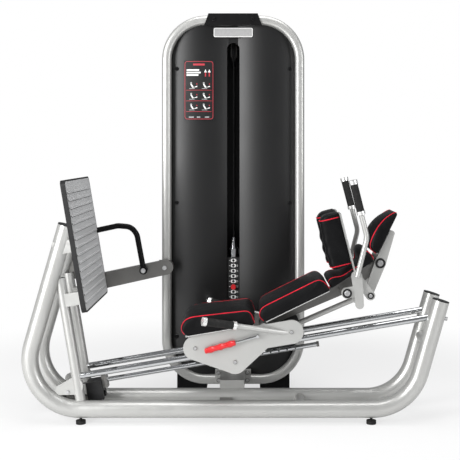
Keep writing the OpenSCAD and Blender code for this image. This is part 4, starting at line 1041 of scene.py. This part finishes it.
def round_ring():
    """The tower's front ring as a bent tube with a soft, rounded section."""
    half = RING_W / 2
    depth = (RING_Y[1] - RING_Y[0]) / 2
    low, high = RING_Z
    points = []
    for c, s in circle_steps(RING_SPOKES):
        inset = half - half * swollen(c)
        y = RING_Y[0] + depth - depth * swollen(s)
        loop = round_loop(
            inset - RING_X, RING_X - inset, low + inset, high - inset, RING_R - inset, corner=24, straight=6)
        points += [cad(x, y, z) for x, z in loop]
    count = len(points) // RING_SPOKES
    faces = []
    for k in range(RING_SPOKES):
        faces += band((k + 1) % RING_SPOKES * count, k * count, count)
    obj = mesh_piece("tower_ring_round", points, faces, MATERIALS["silver_frame"])
    smooth(obj)
    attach(obj, "frame")
    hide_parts("tower_ring")


placard_prints()
weight_labels()
pivot_rings()
twisted_grip()
cable_runs()
plate_rivets()
# Black strips of painted shade under the foot plate's ribs
painted_rib_shade()
bolt_heads()
badge_plate()
pad_edgings()
round_ring()


# Studio

PHOTO_SIZE = 460
FOCAL_PX = 894
CENTRE_PX = (255, 150)
CAMERA_AT = (0.0922, -4.49975, 1.285)
SENSOR = 36.0


def make_camera():
    """A level camera whose frame is shifted, as in the photograph."""
    lens = bpy.data.cameras.new("camera")
    lens.sensor_width = SENSOR
    lens.lens = SENSOR * FOCAL_PX / PHOTO_SIZE
    lens.shift_x = (PHOTO_SIZE / 2 - CENTRE_PX[0]) / PHOTO_SIZE
    lens.shift_y = (CENTRE_PX[1] - PHOTO_SIZE / 2) / PHOTO_SIZE
    camera = bpy.data.objects.new("camera", lens)
    camera.location = CAMERA_AT
    camera.rotation_euler = (math.pi / 2, 0, 0)
    scene.collection.objects.link(camera)
    scene.camera = camera


def softbox(name, place, aim, size, power):
    light = bpy.data.lights.new(name, "AREA")
    light.shape = "RECTANGLE"
    light.size, light.size_y = size
    light.energy = power
    lamp = bpy.data.objects.new(name, light)
    lamp.location = place
    lamp.rotation_euler = (Vector(aim) - Vector(place)).to_track_quat("-Z", "Y").to_euler()
    scene.collection.objects.link(lamp)


# The floor's half length, its place under the feet, and where and how far it fades to white
FLOOR_HALF = 30.0
FLOOR_Z = -0.0005
FLOOR_NEAR = 1.3
FLOOR_FAR = 2.6
FLOOR_GLOW = 0.68


def make_floor():
    """A pale floor that fades to the plain background away from the machine."""
    corners = [(FLOOR_HALF * a, FLOOR_HALF * b, FLOOR_Z) for a, b in ((-1, -1), (1, -1), (1, 1), (-1, 1))]
    floor = mesh_piece("floor", corners, [[0, 1, 2, 3]], None)
    material = bpy.data.materials.new("floor")
    material.use_nodes = True
    tree = material.node_tree
    bsdf = tree.nodes["Principled BSDF"]
    bsdf.inputs["Base Color"].default_value = (0.86, 0.86, 0.86, 1)
    bsdf.inputs["Roughness"].default_value = 0.55
    bsdf.inputs["Specular IOR Level"].default_value = 0.2
    glow = tree.nodes.new("ShaderNodeEmission")
    glow.inputs["Color"].default_value = (1, 1, 1, 1)
    place = tree.nodes.new("ShaderNodeNewGeometry")
    length = tree.nodes.new("ShaderNodeVectorMath")
    length.operation = "LENGTH"
    tree.links.new(place.outputs["Position"], length.inputs[0])
    fade = tree.nodes.new("ShaderNodeMapRange")
    fade.interpolation_type = "SMOOTHSTEP"
    fade.inputs["From Min"].default_value = FLOOR_NEAR
    fade.inputs["From Max"].default_value = FLOOR_FAR
    fade.inputs["To Min"].default_value = FLOOR_GLOW
    fade.inputs["To Max"].default_value = 1.0
    tree.links.new(length.outputs["Value"], fade.inputs["Value"])
    seen = tree.nodes.new("ShaderNodeLightPath")
    share = tree.nodes.new("ShaderNodeMath")
    share.operation = "MULTIPLY"
    tree.links.new(fade.outputs["Result"], share.inputs[0])
    tree.links.new(seen.outputs["Is Camera Ray"], share.inputs[1])
    mix = tree.nodes.new("ShaderNodeMixShader")
    tree.links.new(share.outputs["Value"], mix.inputs["Fac"])
    tree.links.new(bsdf.outputs["BSDF"], mix.inputs[1])
    tree.links.new(glow.outputs["Emission"], mix.inputs[2])
    tree.links.new(mix.outputs["Shader"], tree.nodes["Material Output"].inputs["Surface"])
    floor.data.materials.append(material)


WORLD_LIGHT = 0.28


def make_world():
    """Even light on the machine, with plain white behind it."""
    world = bpy.data.worlds.new("studio")
    scene.world = world
    world.use_nodes = True
    tree = world.node_tree
    tree.nodes.clear()
    lit = tree.nodes.new("ShaderNodeBackground")
    lit.inputs["Color"].default_value = (0.97, 0.98, 1.0, 1)
    lit.inputs["Strength"].default_value = WORLD_LIGHT
    plain = tree.nodes.new("ShaderNodeBackground")
    plain.inputs["Color"].default_value = (1, 1, 1, 1)
    plain.inputs["Strength"].default_value = 1.0
    seen = tree.nodes.new("ShaderNodeLightPath")
    mix = tree.nodes.new("ShaderNodeMixShader")
    out = tree.nodes.new("ShaderNodeOutputWorld")
    tree.links.new(seen.outputs["Is Camera Ray"], mix.inputs["Fac"])
    tree.links.new(lit.outputs["Background"], mix.inputs[1])
    tree.links.new(plain.outputs["Background"], mix.inputs[2])
    tree.links.new(mix.outputs["Shader"], out.inputs["Surface"])


# Each light: its place, what it aims at, its size and its watts
LIGHTS = {
    "key": ((-3.3, -3.5, 1.9), (0, 0, 1.0), (2.2, 3.0), 275),
    "fill": ((3.6, -2.6, 1.8), (0, 0, 0.9), (1.6, 2.6), 72),
    "top": ((0.2, -0.6, 4.4), (0, 0, 0.6), (3.0, 2.4), 96),
}

make_camera()
make_floor()
make_world()
for name, light in LIGHTS.items():
    softbox(name, *light)
scene.view_settings.view_transform = "Standard"
